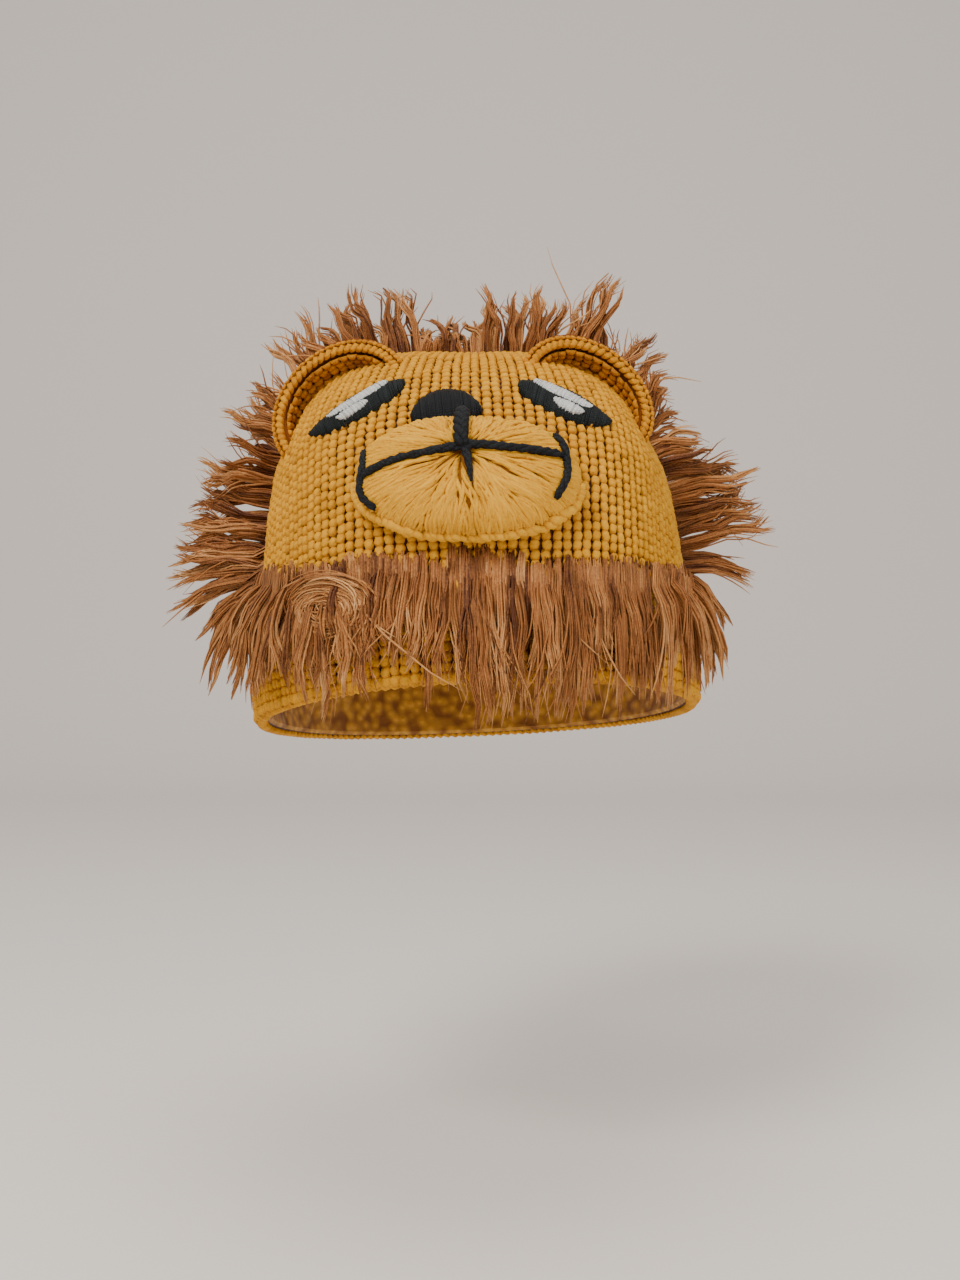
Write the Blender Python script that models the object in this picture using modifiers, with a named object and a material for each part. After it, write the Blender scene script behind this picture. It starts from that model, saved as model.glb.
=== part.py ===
"""A knitted lion beanie: a hollow cap with two cupped ears, a stuffed muzzle, stitched
eyes, nose and mouth, and a mane of yarn locks in a loop round the face.

Frame: metres, +Z up, the face looks along -Y, and the origin is the inside of the crown,
where the cap sits on a head. Left and right are the wearer's, so left is at +X.
"""

import math
import random

import bmesh
import bpy
from mathutils import Matrix, Vector
from mathutils.bvhtree import BVHTree

# Cap: the knitted shell, as it is stretched by a head
WALL = 0.0036
CROWN_RISE = 0.1194
HALF_WIDTH = 0.0850
FRONT_DEPTH = 0.1020
BACK_DEPTH = 0.1030
REAR_DROP = 0.0300
RIGHT_DROP = 0.0080
BAND_SHIFT = 0.0045
HEM_ROUNDING = 0.0012
CAP_COLUMNS = 42

# One row for each level from the rim up to the crown. Height is a share of the cap's full
# rise, and the other lengths are shares of its half width and of its front and back depths.
# Square is the exponent of the level's outline: 2 is an ellipse, and more is boxier.
CAP_LEVELS = [
    # name, height, width, front, back, square
    ("rim", 0.000, 0.980, 0.965, 0.925, 2.10),
    ("hem", 0.045, 1.000, 0.985, 0.945, 2.10),
    ("band", 0.110, 0.998, 1.000, 0.970, 2.12),
    ("band_top", 0.200, 0.972, 1.003, 0.985, 2.15),
    ("brow", 0.300, 0.942, 1.000, 1.000, 2.20),
    ("muzzle_foot", 0.400, 0.920, 0.985, 1.000, 2.25),
    ("muzzle_top", 0.510, 0.896, 0.948, 0.985, 2.30),
    ("nose", 0.620, 0.866, 0.885, 0.945, 2.35),
    ("ear_foot", 0.710, 0.818, 0.800, 0.885, 2.40),
    ("eye", 0.790, 0.750, 0.705, 0.805, 2.40),
    ("ear_top", 0.860, 0.660, 0.595, 0.700, 2.35),
    ("crown_edge", 0.920, 0.540, 0.465, 0.565, 2.25),
    ("crown", 0.965, 0.380, 0.315, 0.390, 2.10),
    ("crown_top", 0.990, 0.205, 0.165, 0.205, 2.00),
    ("apex", 1.000, 0.000, 0.000, 0.000, 2.00),
]

# Soft hollows in the cap, each at a turn in degrees from the front towards +X, and at a
# level. Depth is in walls, reach is in degrees and spread is in levels.
DENTS = [
    # name, turn, level, depth, reach, spread
    ("left_temple", 72.0, "ear_foot", 0.90, 13.0, 0.9),
    ("left_cheek", 58.0, "muzzle_foot", 0.45, 10.0, 1.4),
    ("right_temple", -74.0, "ear_foot", 0.50, 12.0, 0.9),
    ("right_cheek", -56.0, "muzzle_foot", 0.40, 9.0, 1.6),
    ("under_muzzle", 0.0, "brow", 0.55, 17.0, 0.9),
    ("nape", 180.0, "brow", 0.70, 24.0, 1.5),
]
CROWN_SAG = 0.0036
CROWN_SAG_HALF_WIDTH = 0.024
CROWN_SAG_Y = -0.030
CROWN_SAG_LENGTH = 0.045

# Clearance between a piece and what it is sewn to
SEAT_GAP = 0.0003

# Facets of the sewn-on pads: round each one, and from its middle to its middle at the back
MUZZLE_FACETS = (28, 14)
NOSE_FACETS = (20, 10)
EYE_FACETS = (22, 10)
WHITE_FACETS = (12, 6)

# Muzzle: a stuffed oval pad. Its place is a share of the half width and of the rise.
MUZZLE_ACROSS = 0.019
MUZZLE_UP = 0.522
MUZZLE_HALF_WIDTH = 0.0360
MUZZLE_HALF_HEIGHT = 0.0182
MUZZLE_THICKNESS = 0.0165
MUZZLE_SQUARE = 2.4
MUZZLE_CREASE = 0.0022
MUZZLE_CREASE_UP = 0.16
MUZZLE_CREASE_REACH = 0.20

# Eyes: almonds of satin stitch, placed as shares of the half width and of the rise. Length
# and height are shares of the half length and the half height.
EYE_HALF_LENGTH = 0.0175
EYE_HALF_HEIGHT = 0.0055
EYE_THICKNESS = 0.0013
EYES = [
    # name, side, across, up, length, height, slant in degrees
    ("eye_right", -1, 0.430, 0.752, 1.035, 0.91, 28.0),
    ("eye_left", 1, 0.402, 0.761, 0.960, 1.09, 22.0),
]

# White bands on each eye, as shares of its half length and half height
WHITE_THICKNESS = 0.0008
EYE_WHITES = [
    # name, along, across, half length, half height, extra slant
    ("white_upper", -0.08, 0.30, 0.62, 0.24, -4.0),
    ("white_lower", 0.10, -0.32, 0.30, 0.22, -4.0),
]

# Nose: a dome of satin stitch over the muzzle
NOSE_ACROSS = -0.068
NOSE_UP = 0.712
NOSE_HALF_WIDTH = 0.0114
NOSE_RISE = 0.0105
NOSE_FOOT = 0.0034
NOSE_SLANT = 7.0
NOSE_THICKNESS = 0.0016

# Mouth: one run of round cord. Points are shares of the muzzle's half width and half height
# from its centre, and girth is a share of the cord's radius.
MOUTH_CORD_RADIUS = 0.00135
MOUTH_POINTS = [
    # run, across, up, girth
    ("line", -0.83, -0.07, 1.0),
    ("line", -0.59, 0.07, 1.0),
    ("line", -0.13, 0.23, 1.0),
    ("line", 0.06, 0.28, 1.0),
    ("line", 0.42, 0.25, 1.0),
    ("line", 0.76, 0.24, 1.0),
    ("right_bar", -0.83, 0.40, 0.8),
    ("right_bar", -0.83, -0.07, 0.9),
    ("right_bar", -0.82, -0.32, 0.9),
    ("right_bar", -0.72, -0.56, 0.8),
    ("left_bar", 0.70, 0.62, 0.8),
    ("left_bar", 0.765, 0.34, 0.9),
    ("left_bar", 0.77, -0.02, 0.9),
    ("left_bar", 0.69, -0.45, 0.8),
    ("stem", -0.045, 0.84, 1.5),
    ("stem", -0.045, 0.58, 1.6),
    ("stem", -0.035, 0.24, 1.5),
    ("centre", -0.02, 0.24, 1.0),
    ("centre", 0.01, 0.00, 0.8),
    ("centre", 0.03, -0.26, 0.4),
]

# Ears: cups of knitting, each half an ellipsoid open to the front and cut by the cap.
# Places are shares of the half width, the front depth and the rise. Length, height and cup
# are shares of the half length, the half height and the depth, and the rest is in degrees.
EAR_HALF_LENGTH = 0.0228
EAR_HALF_HEIGHT = 0.0185
EAR_DEPTH = 0.0150
EAR_WALL = 0.0038
EAR_COLUMNS = 24
EAR_ROWS = 5
EARS = [
    # name, side, across, along, up, length, height, cup, slope, outward, upward
    ("ear_right", -1, 0.530, -0.450, 0.790, 1.00, 1.02, 1.00, 40.0, 14.0, 10.0),
    ("ear_left", 1, 0.525, -0.450, 0.818, 0.96, 0.88, 0.94, 36.0, 14.0, 10.0),
]

# Mane: a sewn strip in a loop round the face, with locks of unspun yarn fused to it. The
# loop is one half, mirrored: shares of the half width, the front depth and the rise.
MANE_LOOP = [
    # name, across, along, up
    ("brow", 0.00, -1.00, 0.300),
    ("brow_side", 0.44, -0.92, 0.298),
    ("temple_front", 0.80, -0.60, 0.285),
    ("temple", 0.97, -0.26, 0.290),
    ("cheek", 0.97, 0.00, 0.370),
    ("side", 0.93, 0.08, 0.520),
    ("ear_back", 0.86, 0.10, 0.700),
    ("crown_corner", 0.60, 0.10, 0.910),
    ("crown", 0.00, 0.10, 1.000),
]
STRIP_WIDTH = 0.0080
STRIP_THICKNESS = 0.0022
STRIP_STEPS = 64

# Tips of the mane's main locks, in order round the loop from the brow by the left side, as
# shares of the half width, the front depth and the rise. Each lock grows from the nearest
# place on the strip, and shorter locks fill the way to the next one.
LOCK_TIPS = [
    # name, across, along, up
    ("brow_1", 0.092, -1.090, -0.110),
    ("brow_2", 0.357, -1.040, -0.098),
    ("brow_3", 0.490, -0.990, -0.100),
    ("brow_4", 0.660, -0.880, -0.110),
    ("brow_5", 0.780, -0.780, -0.100),
    ("left_corner_1", 0.960, -0.560, -0.060),
    ("left_corner_2", 1.093, -0.320, -0.033),
    ("left_corner_3", 1.195, -0.120, 0.019),
    ("left_droop", 1.233, 0.020, 0.154),
    ("left_1", 1.330, 0.100, 0.330),
    ("left_2", 1.429, 0.060, 0.500),
    ("left_3", 1.378, 0.160, 0.545),
    ("left_4", 1.396, 0.080, 0.622),
    ("left_5", 1.322, 0.180, 0.677),
    ("left_6", 1.130, 0.120, 0.761),
    ("left_7", 1.041, 0.200, 0.832),
    ("crown_1", 0.955, 0.160, 0.984),
    ("crown_2", 0.922, 0.240, 1.120),
    ("crown_3", 0.682, 0.140, 1.300),
    ("crown_4", 0.339, 0.240, 1.263),
    ("crown_5", 0.174, 0.150, 1.270),
    ("crown_6", -0.030, 0.260, 1.170),
    ("crown_7", -0.155, 0.160, 1.146),
    ("crown_8", -0.345, 0.240, 1.290),
    ("crown_9", -0.607, 0.150, 1.268),
    ("crown_10", -0.908, 0.200, 1.143),
    ("right_7", -1.126, 0.140, 0.894),
    ("right_6", -1.090, 0.200, 0.784),
    ("right_5", -1.266, 0.100, 0.638),
    ("right_4", -1.382, 0.160, 0.486),
    ("right_3", -1.359, 0.060, 0.396),
    ("right_2", -1.459, 0.120, 0.283),
    ("right_1", -1.406, 0.040, 0.186),
    ("right_droop", -1.242, -0.060, 0.106),
    ("right_corner_2", -1.149, -0.240, -0.040),
    ("right_corner_1", -0.985, -0.500, -0.070),
    ("brow_9", -0.820, -0.740, -0.050),
    ("brow_8", -0.655, -0.880, -0.078),
    ("brow_7", -0.420, -1.010, -0.040),
    ("brow_6", -0.130, -1.080, -0.058),
]
LOCK_PITCH = 0.0068
LOCK_SCATTER = 0.0090
LOCK_WIDTH = 0.0115
LOCK_THICKNESS = 0.0046
LOCK_BULGE = 0.0045
LOCK_SIDES = 5
LOCK_RINGS = 4
SHORTEST_FILLER = 0.66
MANE_SEED = 11

YELLOW = (0.72, 0.42, 0.09, 1.0)
EAR_YELLOW = (0.66, 0.36, 0.07, 1.0)
MUZZLE_YELLOW = (0.78, 0.46, 0.10, 1.0)
BLACK = (0.013, 0.015, 0.019, 1.0)
EYE_BLACK = (0.012, 0.018, 0.018, 1.0)
WHITE = (0.68, 0.68, 0.66, 1.0)
BROWN = (0.30, 0.11, 0.03, 1.0)


def clear_scene():
    for obj in list(bpy.data.objects):
        bpy.data.objects.remove(obj)


def make_material(name, colour, roughness):
    material = bpy.data.materials.new(name)
    material.use_nodes = True
    shader = material.node_tree.nodes["Principled BSDF"]
    shader.inputs["Base Color"].default_value = colour
    shader.inputs["Roughness"].default_value = roughness
    shader.inputs["Metallic"].default_value = 0.0
    return material


def smooth_value(a, b, c, d, share):
    """A value between b and c, on a Catmull-Rom curve through the four."""
    bend = 2 * a - 5 * b + 4 * c - d + share * (3 * (b - c) + d - a)
    return b + 0.5 * share * (c - a + share * bend)


def level_value(place, column):
    """A column of the cap's levels at a place in rows. Past the apex the radii turn negative
    and the rest mirrors, so that the crown is closed smoothly."""
    last = len(CAP_LEVELS) - 1
    first = min(int(place), last - 1)
    flips = 1 if column in (1, 5) else -1
    values = []
    for row in range(first - 1, first + 3):
        if row < 0:
            values.append(2 * CAP_LEVELS[0][column] - CAP_LEVELS[1][column])
        elif row > last:
            values.append(flips * CAP_LEVELS[2 * last - row][column])
        else:
            values.append(CAP_LEVELS[row][column])
    return smooth_value(*values, place - first)


def level_index(name):
    return [row[0] for row in CAP_LEVELS].index(name)


def rise_to(share):
    """The world height at a share of the cap's full rise from the front rim."""
    return -CROWN_RISE + share * (CROWN_RISE + WALL)


def signed_power(value, power):
    return math.copysign(abs(value) ** power, value)


def dent_depth(turn, place):
    total = 0.0
    for _, dent_turn, level, depth, reach, spread in DENTS:
        away = (turn - dent_turn + 180) % 360 - 180
        up = place - level_index(level)
        total += WALL * depth * math.exp(-((away / reach) ** 2) - (up / spread) ** 2)
    return total


def cap_point(turn, place):
    """The cap's outside: turn in degrees from the front, place in rows from the rim."""
    height = level_value(place, 1)
    square = level_value(place, 5)
    facing = math.cos(math.radians(turn))
    sideways = math.sin(math.radians(turn))
    depth = FRONT_DEPTH * level_value(place, 3)
    if facing < 0:
        depth = BACK_DEPTH * level_value(place, 4)
    x = HALF_WIDTH * level_value(place, 2) * signed_power(sideways, 2 / square)
    y = -depth * signed_power(facing, 2 / square)
    radius = max(math.hypot(x, y), WALL)
    sink = 1 - dent_depth(turn, place) / radius
    x *= sink
    y *= sink
    drop = REAR_DROP * (1 - facing) / 2 + RIGHT_DROP * ((1 - sideways) / 2) ** 2
    z = rise_to(height) - drop * (1 - height) ** 2
    across = x / CROWN_SAG_HALF_WIDTH
    along = (y - CROWN_SAG_Y) / CROWN_SAG_LENGTH
    z -= CROWN_SAG * math.exp(-across * across - along * along) * height ** 6
    return Vector((x + BAND_SHIFT * (1 - height), y, z))


def cap_surface(columns, steps):
    """Points and faces of the cap's outside, open at the rim."""
    last = len(CAP_LEVELS) - 1
    rings = last * steps
    points = []
    for ring in range(rings):
        points += [cap_point(360 * column / columns, ring / steps) for column in range(columns)]
    points.append(cap_point(0, last))
    faces = []
    for ring in range(rings):
        low = ring * columns
        for column in range(columns):
            beside = (column + 1) % columns
            if ring == rings - 1:
                faces.append((low + column, low + beside, len(points) - 1))
            else:
                high = low + columns
                faces.append((low + column, low + beside, high + beside, high + column))
    return points, faces


def mesh_object(name, points, faces, collection):
    mesh = bpy.data.meshes.new(name)
    mesh.from_pydata([tuple(point) for point in points], [], faces)
    mesh.update()
    obj = bpy.data.objects.new(name, mesh)
    collection.objects.link(obj)
    return obj


def finish_piece(obj, material):
    obj.data.materials.clear()
    obj.data.materials.append(material)
    obj.data.shade_smooth()
    obj.data.set_sharp_from_angle(angle=math.radians(50))
    return obj


def make_cap(collection, material):
    points, faces = cap_surface(CAP_COLUMNS, 1)
    cap = mesh_object("cap", points, faces, collection)
    shell = cap.modifiers.new("wall", "SOLIDIFY")
    shell.thickness = WALL
    shell.offset = -1
    shell.use_even_offset = True
    hem = cap.modifiers.new("hem", "BEVEL")
    hem.width = HEM_ROUNDING
    hem.segments = 1
    hem.limit_method = "ANGLE"
    hem.angle_limit = math.radians(60)
    return finish_piece(cap, material)


def cap_tree():
    """The cap's outside, finely divided, to seat pieces on."""
    points, faces = cap_surface(CAP_COLUMNS * 3, 4)
    return BVHTree.FromPolygons(points, faces)


def object_tree(obj):
    return BVHTree.FromObject(obj, bpy.context.evaluated_depsgraph_get())


def behind(tree, x, z):
    """The surface's point straight behind x and z in the front view."""
    place, _, _, _ = tree.ray_cast(Vector((x, -3 * FRONT_DEPTH, z)), Vector((0, 1, 0)))
    if place is None:
        raise ValueError(f"no surface behind x {x:.4f}, z {z:.4f}")
    return place


def seat(tree, x, z, out):
    """A point at a height over the surface that lies behind x and z in the front view."""
    step = WALL / 3
    sideways = behind(tree, x + step, z) - behind(tree, x - step, z)
    upwards = behind(tree, x, z + step) - behind(tree, x, z - step)
    return behind(tree, x, z) + sideways.cross(upwards).normalized() * out


def make_pad(name, collection, material, tree, shape, facets):
    """A dome on a surface. The shape turns a point of the unit disc, and the height of the
    unit sphere there, into x, z and the height over the surface."""
    mesh = bpy.data.meshes.new(name)
    bm = bmesh.new()
    bmesh.ops.create_uvsphere(bm, u_segments=facets[0], v_segments=facets[1], radius=1.0)
    for vert in bm.verts:
        x, z, out = shape(vert.co.x, vert.co.y, max(vert.co.z, 0.0))
        vert.co = seat(tree, x, z, SEAT_GAP + out)
    bm.to_mesh(mesh)
    bm.free()
    pad = bpy.data.objects.new(name, mesh)
    collection.objects.link(pad)
    return finish_piece(pad, material)


def boxy(a, b, square):
    """A point of the unit disc, moved out towards a disc with squarer corners."""
    radius = math.hypot(a, b)
    if radius == 0:
        return a, b
    stretch = (abs(a / radius) ** square + abs(b / radius) ** square) ** (-1 / square)
    return a * stretch, b * stretch


def muzzle_shape(a, b, c):
    across, up = boxy(a, b, MUZZLE_SQUARE)
    crease = math.exp(-(((up - MUZZLE_CREASE_UP) / MUZZLE_CREASE_REACH) ** 2)) * c
    x = MUZZLE_ACROSS * HALF_WIDTH + across * MUZZLE_HALF_WIDTH
    z = rise_to(MUZZLE_UP) + up * MUZZLE_HALF_HEIGHT
    return x, z, MUZZLE_THICKNESS * c ** 0.8 - MUZZLE_CREASE * crease


def nose_shape(a, b, c):
    turn = math.radians(NOSE_SLANT)
    across = a * NOSE_HALF_WIDTH
    up = b * (NOSE_RISE if b > 0 else NOSE_FOOT)
    x = NOSE_ACROSS * HALF_WIDTH + across * math.cos(turn) - up * math.sin(turn)
    z = rise_to(NOSE_UP) + across * math.sin(turn) + up * math.cos(turn)
    return x, z, NOSE_THICKNESS * c ** 0.5


def eye_place(eye, along, across):
    """A place on an eye, from its inner end at -1 to its outer tip at 1, as x and z."""
    _, side, centre_across, centre_up, length, height, slant = eye
    half_length = length * EYE_HALF_LENGTH
    half_height = height * EYE_HALF_HEIGHT
    turn = math.radians(slant)
    out = along * half_length * math.cos(turn) + across * half_height * math.sin(turn)
    up = across * half_height * math.cos(turn) - along * half_length * math.sin(turn)
    return side * (centre_across * HALF_WIDTH + out), rise_to(centre_up) + up


def eye_shape(eye, a, b, c):
    """An almond, drawn to a point at its outer tip."""
    side = eye[1]
    along = a * side
    taper = (1 - along * along) ** 0.25 if along > 0 else 1.0
    x, z = eye_place(eye, along, b * taper)
    return x, z, EYE_THICKNESS * c ** 0.5


def white_shape(eye, white, a, b, c):
    _, along, across, half_length, half_height, extra = white
    side, length, height = eye[1], eye[4], eye[5]
    slimness = length * EYE_HALF_LENGTH / (height * EYE_HALF_HEIGHT)
    lean = math.tan(math.radians(extra)) * slimness * half_length
    x, z = eye_place(
        eye,
        along + a * side * half_length,
        across + b * half_height + a * side * lean,
    )
    return x, z, WHITE_THICKNESS * c ** 0.5


def make_eye(eye, collection, black, white, tree):
    """An eye's black almond, with its white bands seated on it."""

    def almond(a, b, c):
        return eye_shape(eye, a, b, c)

    pad = make_pad(eye[0], collection, black, tree, almond, EYE_FACETS)
    eye_tree = object_tree(pad)
    for band in EYE_WHITES:

        def stripe(a, b, c):
            return white_shape(eye, band, a, b, c)

        make_pad(f"{eye[0]}_{band[0]}", collection, white, eye_tree, stripe, WHITE_FACETS)


def tube_object(name, points, radius, collection):
    """A round tube along points that each hold a girth as a share of the radius, as a mesh."""
    curve = bpy.data.curves.new(name, "CURVE")
    curve.dimensions = "3D"
    curve.bevel_depth = radius
    curve.bevel_resolution = 2
    curve.use_fill_caps = True
    spline = curve.splines.new("POLY")
    spline.points.add(len(points) - 1)
    for target, (place, girth) in zip(spline.points, points):
        target.co = (*place, 1.0)
        target.radius = girth
    guide = bpy.data.objects.new(name + "_route", curve)
    collection.objects.link(guide)
    evaluated = guide.evaluated_get(bpy.context.evaluated_depsgraph_get())
    mesh = bpy.data.meshes.new_from_object(evaluated)
    bm = bmesh.new()
    bm.from_mesh(mesh)
    bmesh.ops.remove_doubles(bm, verts=bm.verts, dist=0.00001)
    bm.to_mesh(mesh)
    bm.free()
    tube = bpy.data.objects.new(name, mesh)
    tube.matrix_world = guide.matrix_world
    collection.objects.link(tube)
    bpy.data.objects.remove(guide)
    return tube


def mouth_route(rows, tree):
    """Points of one run of cord, sampled smoothly between its rows and seated."""
    columns = [[row[column] for row in rows] for column in (1, 2, 3)]
    route = []
    steps = 3
    for index in range((len(rows) - 1) * steps + 1):
        first = min(index // steps, len(rows) - 2)
        share = index / steps - first
        across, up, girth = (smooth_row(values, first, share) for values in columns)
        x = MUZZLE_ACROSS * HALF_WIDTH + across * MUZZLE_HALF_WIDTH
        z = rise_to(MUZZLE_UP) + up * MUZZLE_HALF_HEIGHT
        route.append((seat(tree, x, z, SEAT_GAP + MOUTH_CORD_RADIUS * girth), girth))
    return route


def smooth_row(values, first, share):
    """A value after a row of a column, on a smooth curve that ends at the column's ends."""
    before = values[first - 1] if first > 0 else values[0]
    after = values[first + 2] if first + 2 < len(values) else values[-1]
    return smooth_value(before, values[first], values[first + 1], after, share)


def boolean(obj, other, operation):
    modifier = obj.modifiers.new(operation.lower(), "BOOLEAN")
    modifier.operation = operation
    modifier.object = other
    modifier.solver = "EXACT"
    return modifier


def apply_modifiers(obj):
    """The object's mesh, replaced by what its modifiers make of it."""
    evaluated = obj.evaluated_get(bpy.context.evaluated_depsgraph_get())
    mesh = bpy.data.meshes.new_from_object(evaluated)
    obj.modifiers.clear()
    obj.data = mesh


def make_mouth(collection, material, muzzle_tree):
    names = list(dict.fromkeys(row[0] for row in MOUTH_POINTS))
    tubes = []
    for name in names:
        rows = [row for row in MOUTH_POINTS if row[0] == name]
        route = mouth_route(rows, muzzle_tree)
        tubes.append(tube_object(name, route, MOUTH_CORD_RADIUS, collection))
    mouth = tubes[0]
    mouth.name = "mouth"
    for other in tubes[1:]:
        boolean(mouth, other, "UNION")
        apply_modifiers(mouth)
        bpy.data.objects.remove(other)
    return finish_piece(mouth, material)


def cap_cutter(name, clearance, collection):
    """The cap as a solid block, grown by a clearance, to cut what is sewn to it."""
    points, faces = cap_surface(CAP_COLUMNS, 1)
    cutter = mesh_object(name, points, faces, collection)
    bm = bmesh.new()
    bm.from_mesh(cutter.data)
    bmesh.ops.recalc_face_normals(bm, faces=bm.faces)
    bm.normal_update()
    moves = [(vert, vert.co + vert.normal * clearance) for vert in bm.verts]
    for vert, place in moves:
        vert.co = place
    rim = [edge for edge in bm.edges if edge.is_boundary]
    foot = bmesh.ops.extrude_edge_only(bm, edges=rim)["geom"]
    below = [item for item in foot if isinstance(item, bmesh.types.BMVert)]
    for vert in below:
        vert.co.z = rise_to(0) - 1.2 * (REAR_DROP + RIGHT_DROP)
    bmesh.ops.contextual_create(bm, geom=below)
    bmesh.ops.recalc_face_normals(bm, faces=bm.faces)
    bm.to_mesh(cutter.data)
    bm.free()
    cutter.hide_render = True
    cutter.display_type = "WIRE"
    return cutter


def make_ear(ear, collection, material, cutter):
    """Half an ellipsoid with a wall, facing forwards, cut off where it meets the cap."""
    name, side, across, along, up, length, height, cup, slope, outward, upward = ear
    half_length = length * EAR_HALF_LENGTH
    half_height = height * EAR_HALF_HEIGHT
    depth = cup * EAR_DEPTH
    points = []
    for row in range(EAR_ROWS + 1):
        polar = math.pi / 2 * row / EAR_ROWS
        for column in range(EAR_COLUMNS if row else 1):
            turn = 2 * math.pi * column / EAR_COLUMNS
            points.append(
                Vector((
                    half_length * math.sin(polar) * math.cos(turn),
                    depth * math.cos(polar),
                    half_height * math.sin(polar) * math.sin(turn),
                ))
            )
    faces = [(0, 1 + column, 1 + (column + 1) % EAR_COLUMNS) for column in range(EAR_COLUMNS)]
    for row in range(EAR_ROWS - 1):
        low = 1 + row * EAR_COLUMNS
        for column in range(EAR_COLUMNS):
            beside = (column + 1) % EAR_COLUMNS
            high = low + EAR_COLUMNS
            faces.append((low + column, high + column, high + beside, low + beside))
    place = Matrix.Translation(
        (side * across * HALF_WIDTH, along * FRONT_DEPTH, rise_to(up))
    )
    turned = (
        Matrix.Rotation(math.radians(side * outward), 4, "Z")
        @ Matrix.Rotation(math.radians(-upward), 4, "X")
        @ Matrix.Rotation(math.radians(side * slope), 4, "Y")
    )
    obj = mesh_object(name, [place @ turned @ point for point in points], faces, collection)
    wall = obj.modifiers.new("wall", "SOLIDIFY")
    wall.thickness = EAR_WALL
    wall.offset = -1
    wall.use_even_offset = True
    apply_modifiers(obj)
    boolean(obj, cutter, "DIFFERENCE")
    apply_modifiers(obj)
    return finish_piece(obj, material)


def mane_samples(tree):
    """Places round the mane's loop, on the cap."""
    half = [Vector(row[1:]) for row in MANE_LOOP]
    loop = half + [Vector((-row.x, row.y, row.z)) for row in reversed(half[1:-1])]
    fine = 24
    samples = []
    for index in range(len(loop) * fine):
        first, share = index // fine, (index % fine) / fine
        four = [loop[(first + shift) % len(loop)] for shift in (-1, 0, 1, 2)]
        across, along, up = (smooth_value(*axis, share) for axis in zip(*four))
        world = Vector((across * HALF_WIDTH, along * FRONT_DEPTH, rise_to(up)))
        samples.append(tree.find_nearest(world)[0])
    return samples


def loop_frame(samples, place, tree):
    """The strip's frame at a fractional sample: on the cap, out of it and along the strip."""
    first = int(place)
    ahead = samples[(first + 1) % len(samples)]
    spot = samples[first % len(samples)].lerp(ahead, place - first)
    along = samples[(first + 3) % len(samples)] - samples[(first - 2) % len(samples)]
    spot, normal, _, _ = tree.find_nearest(spot)
    if normal.dot(spot - Vector((0, 0, rise_to(0.5)))) < 0:
        normal = -normal
    return spot, normal, along.normalized()


def nearest_sample(samples, place):
    return min(range(len(samples)), key=lambda index: (samples[index] - place).length)


def make_strip(samples, tree, collection):
    """The sewn strip that carries the locks: a closed band with a flat section."""
    points = []
    faces = []
    for step in range(STRIP_STEPS):
        place = step * len(samples) / STRIP_STEPS
        spot, normal, along = loop_frame(samples, place, tree)
        sideways = along.cross(normal).normalized() * STRIP_WIDTH / 2
        for wide, high in ((-1, -0.3), (1, -0.3), (1, 1.0), (-1, 1.0)):
            points.append(spot + sideways * wide + normal * STRIP_THICKNESS * high)
        for corner in range(4):
            beside = (corner + 1) % 4
            low, high = step * 4, (step + 1) % STRIP_STEPS * 4
            faces.append((low + corner, low + beside, high + beside, high + corner))
    strip = mesh_object("mane", points, faces, collection)
    face_outwards(strip.data)
    return strip


def face_outwards(mesh):
    bm = bmesh.new()
    bm.from_mesh(mesh)
    bmesh.ops.recalc_face_normals(bm, faces=bm.faces)
    bm.to_mesh(mesh)
    bm.free()


def lock_places(samples, tree):
    """The root sample and the tip of each lock: the main ones, and the fillers between."""
    rng = random.Random(MANE_SEED)
    count = len(samples)
    tips = [
        Vector((across * HALF_WIDTH, along * FRONT_DEPTH, rise_to(up)))
        for _, across, along, up in LOCK_TIPS
    ]
    roots = [nearest_sample(samples, tip) for tip in tips]
    for index, (root, tip) in enumerate(zip(roots, tips)):
        yield root, tip
        next_tip = tips[(index + 1) % len(tips)]
        gap = (roots[(index + 1) % len(tips)] - root) % count
        if gap > count / 2:
            gap -= count
        length = sum(
            (samples[(root + step + 1) % count] - samples[(root + step) % count]).length
            for step in range(max(gap, 0))
        )
        fillers = max(round(length / LOCK_PITCH) - 1, 0)
        for filler in range(fillers):
            share = (filler + rng.uniform(0.7, 1.3)) / (fillers + 1)
            place = root + gap * share
            start, normal, along = loop_frame(samples, place, tree)
            end = start.lerp(tip.lerp(next_tip, share), rng.uniform(SHORTEST_FILLER, 1.0))
            yield place, end + along.cross(normal) * rng.uniform(-1, 1) * LOCK_SCATTER


def lock_section(bm, place, sideways, outwards, girth):
    ring = []
    for corner in range(LOCK_SIDES):
        turn = 2 * math.pi * corner / LOCK_SIDES
        side = sideways * LOCK_WIDTH / 2 * math.cos(turn)
        lift = outwards * LOCK_THICKNESS / 2 * math.sin(turn)
        ring.append(bm.verts.new(place + (side + lift) * girth))
    return ring


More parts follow.
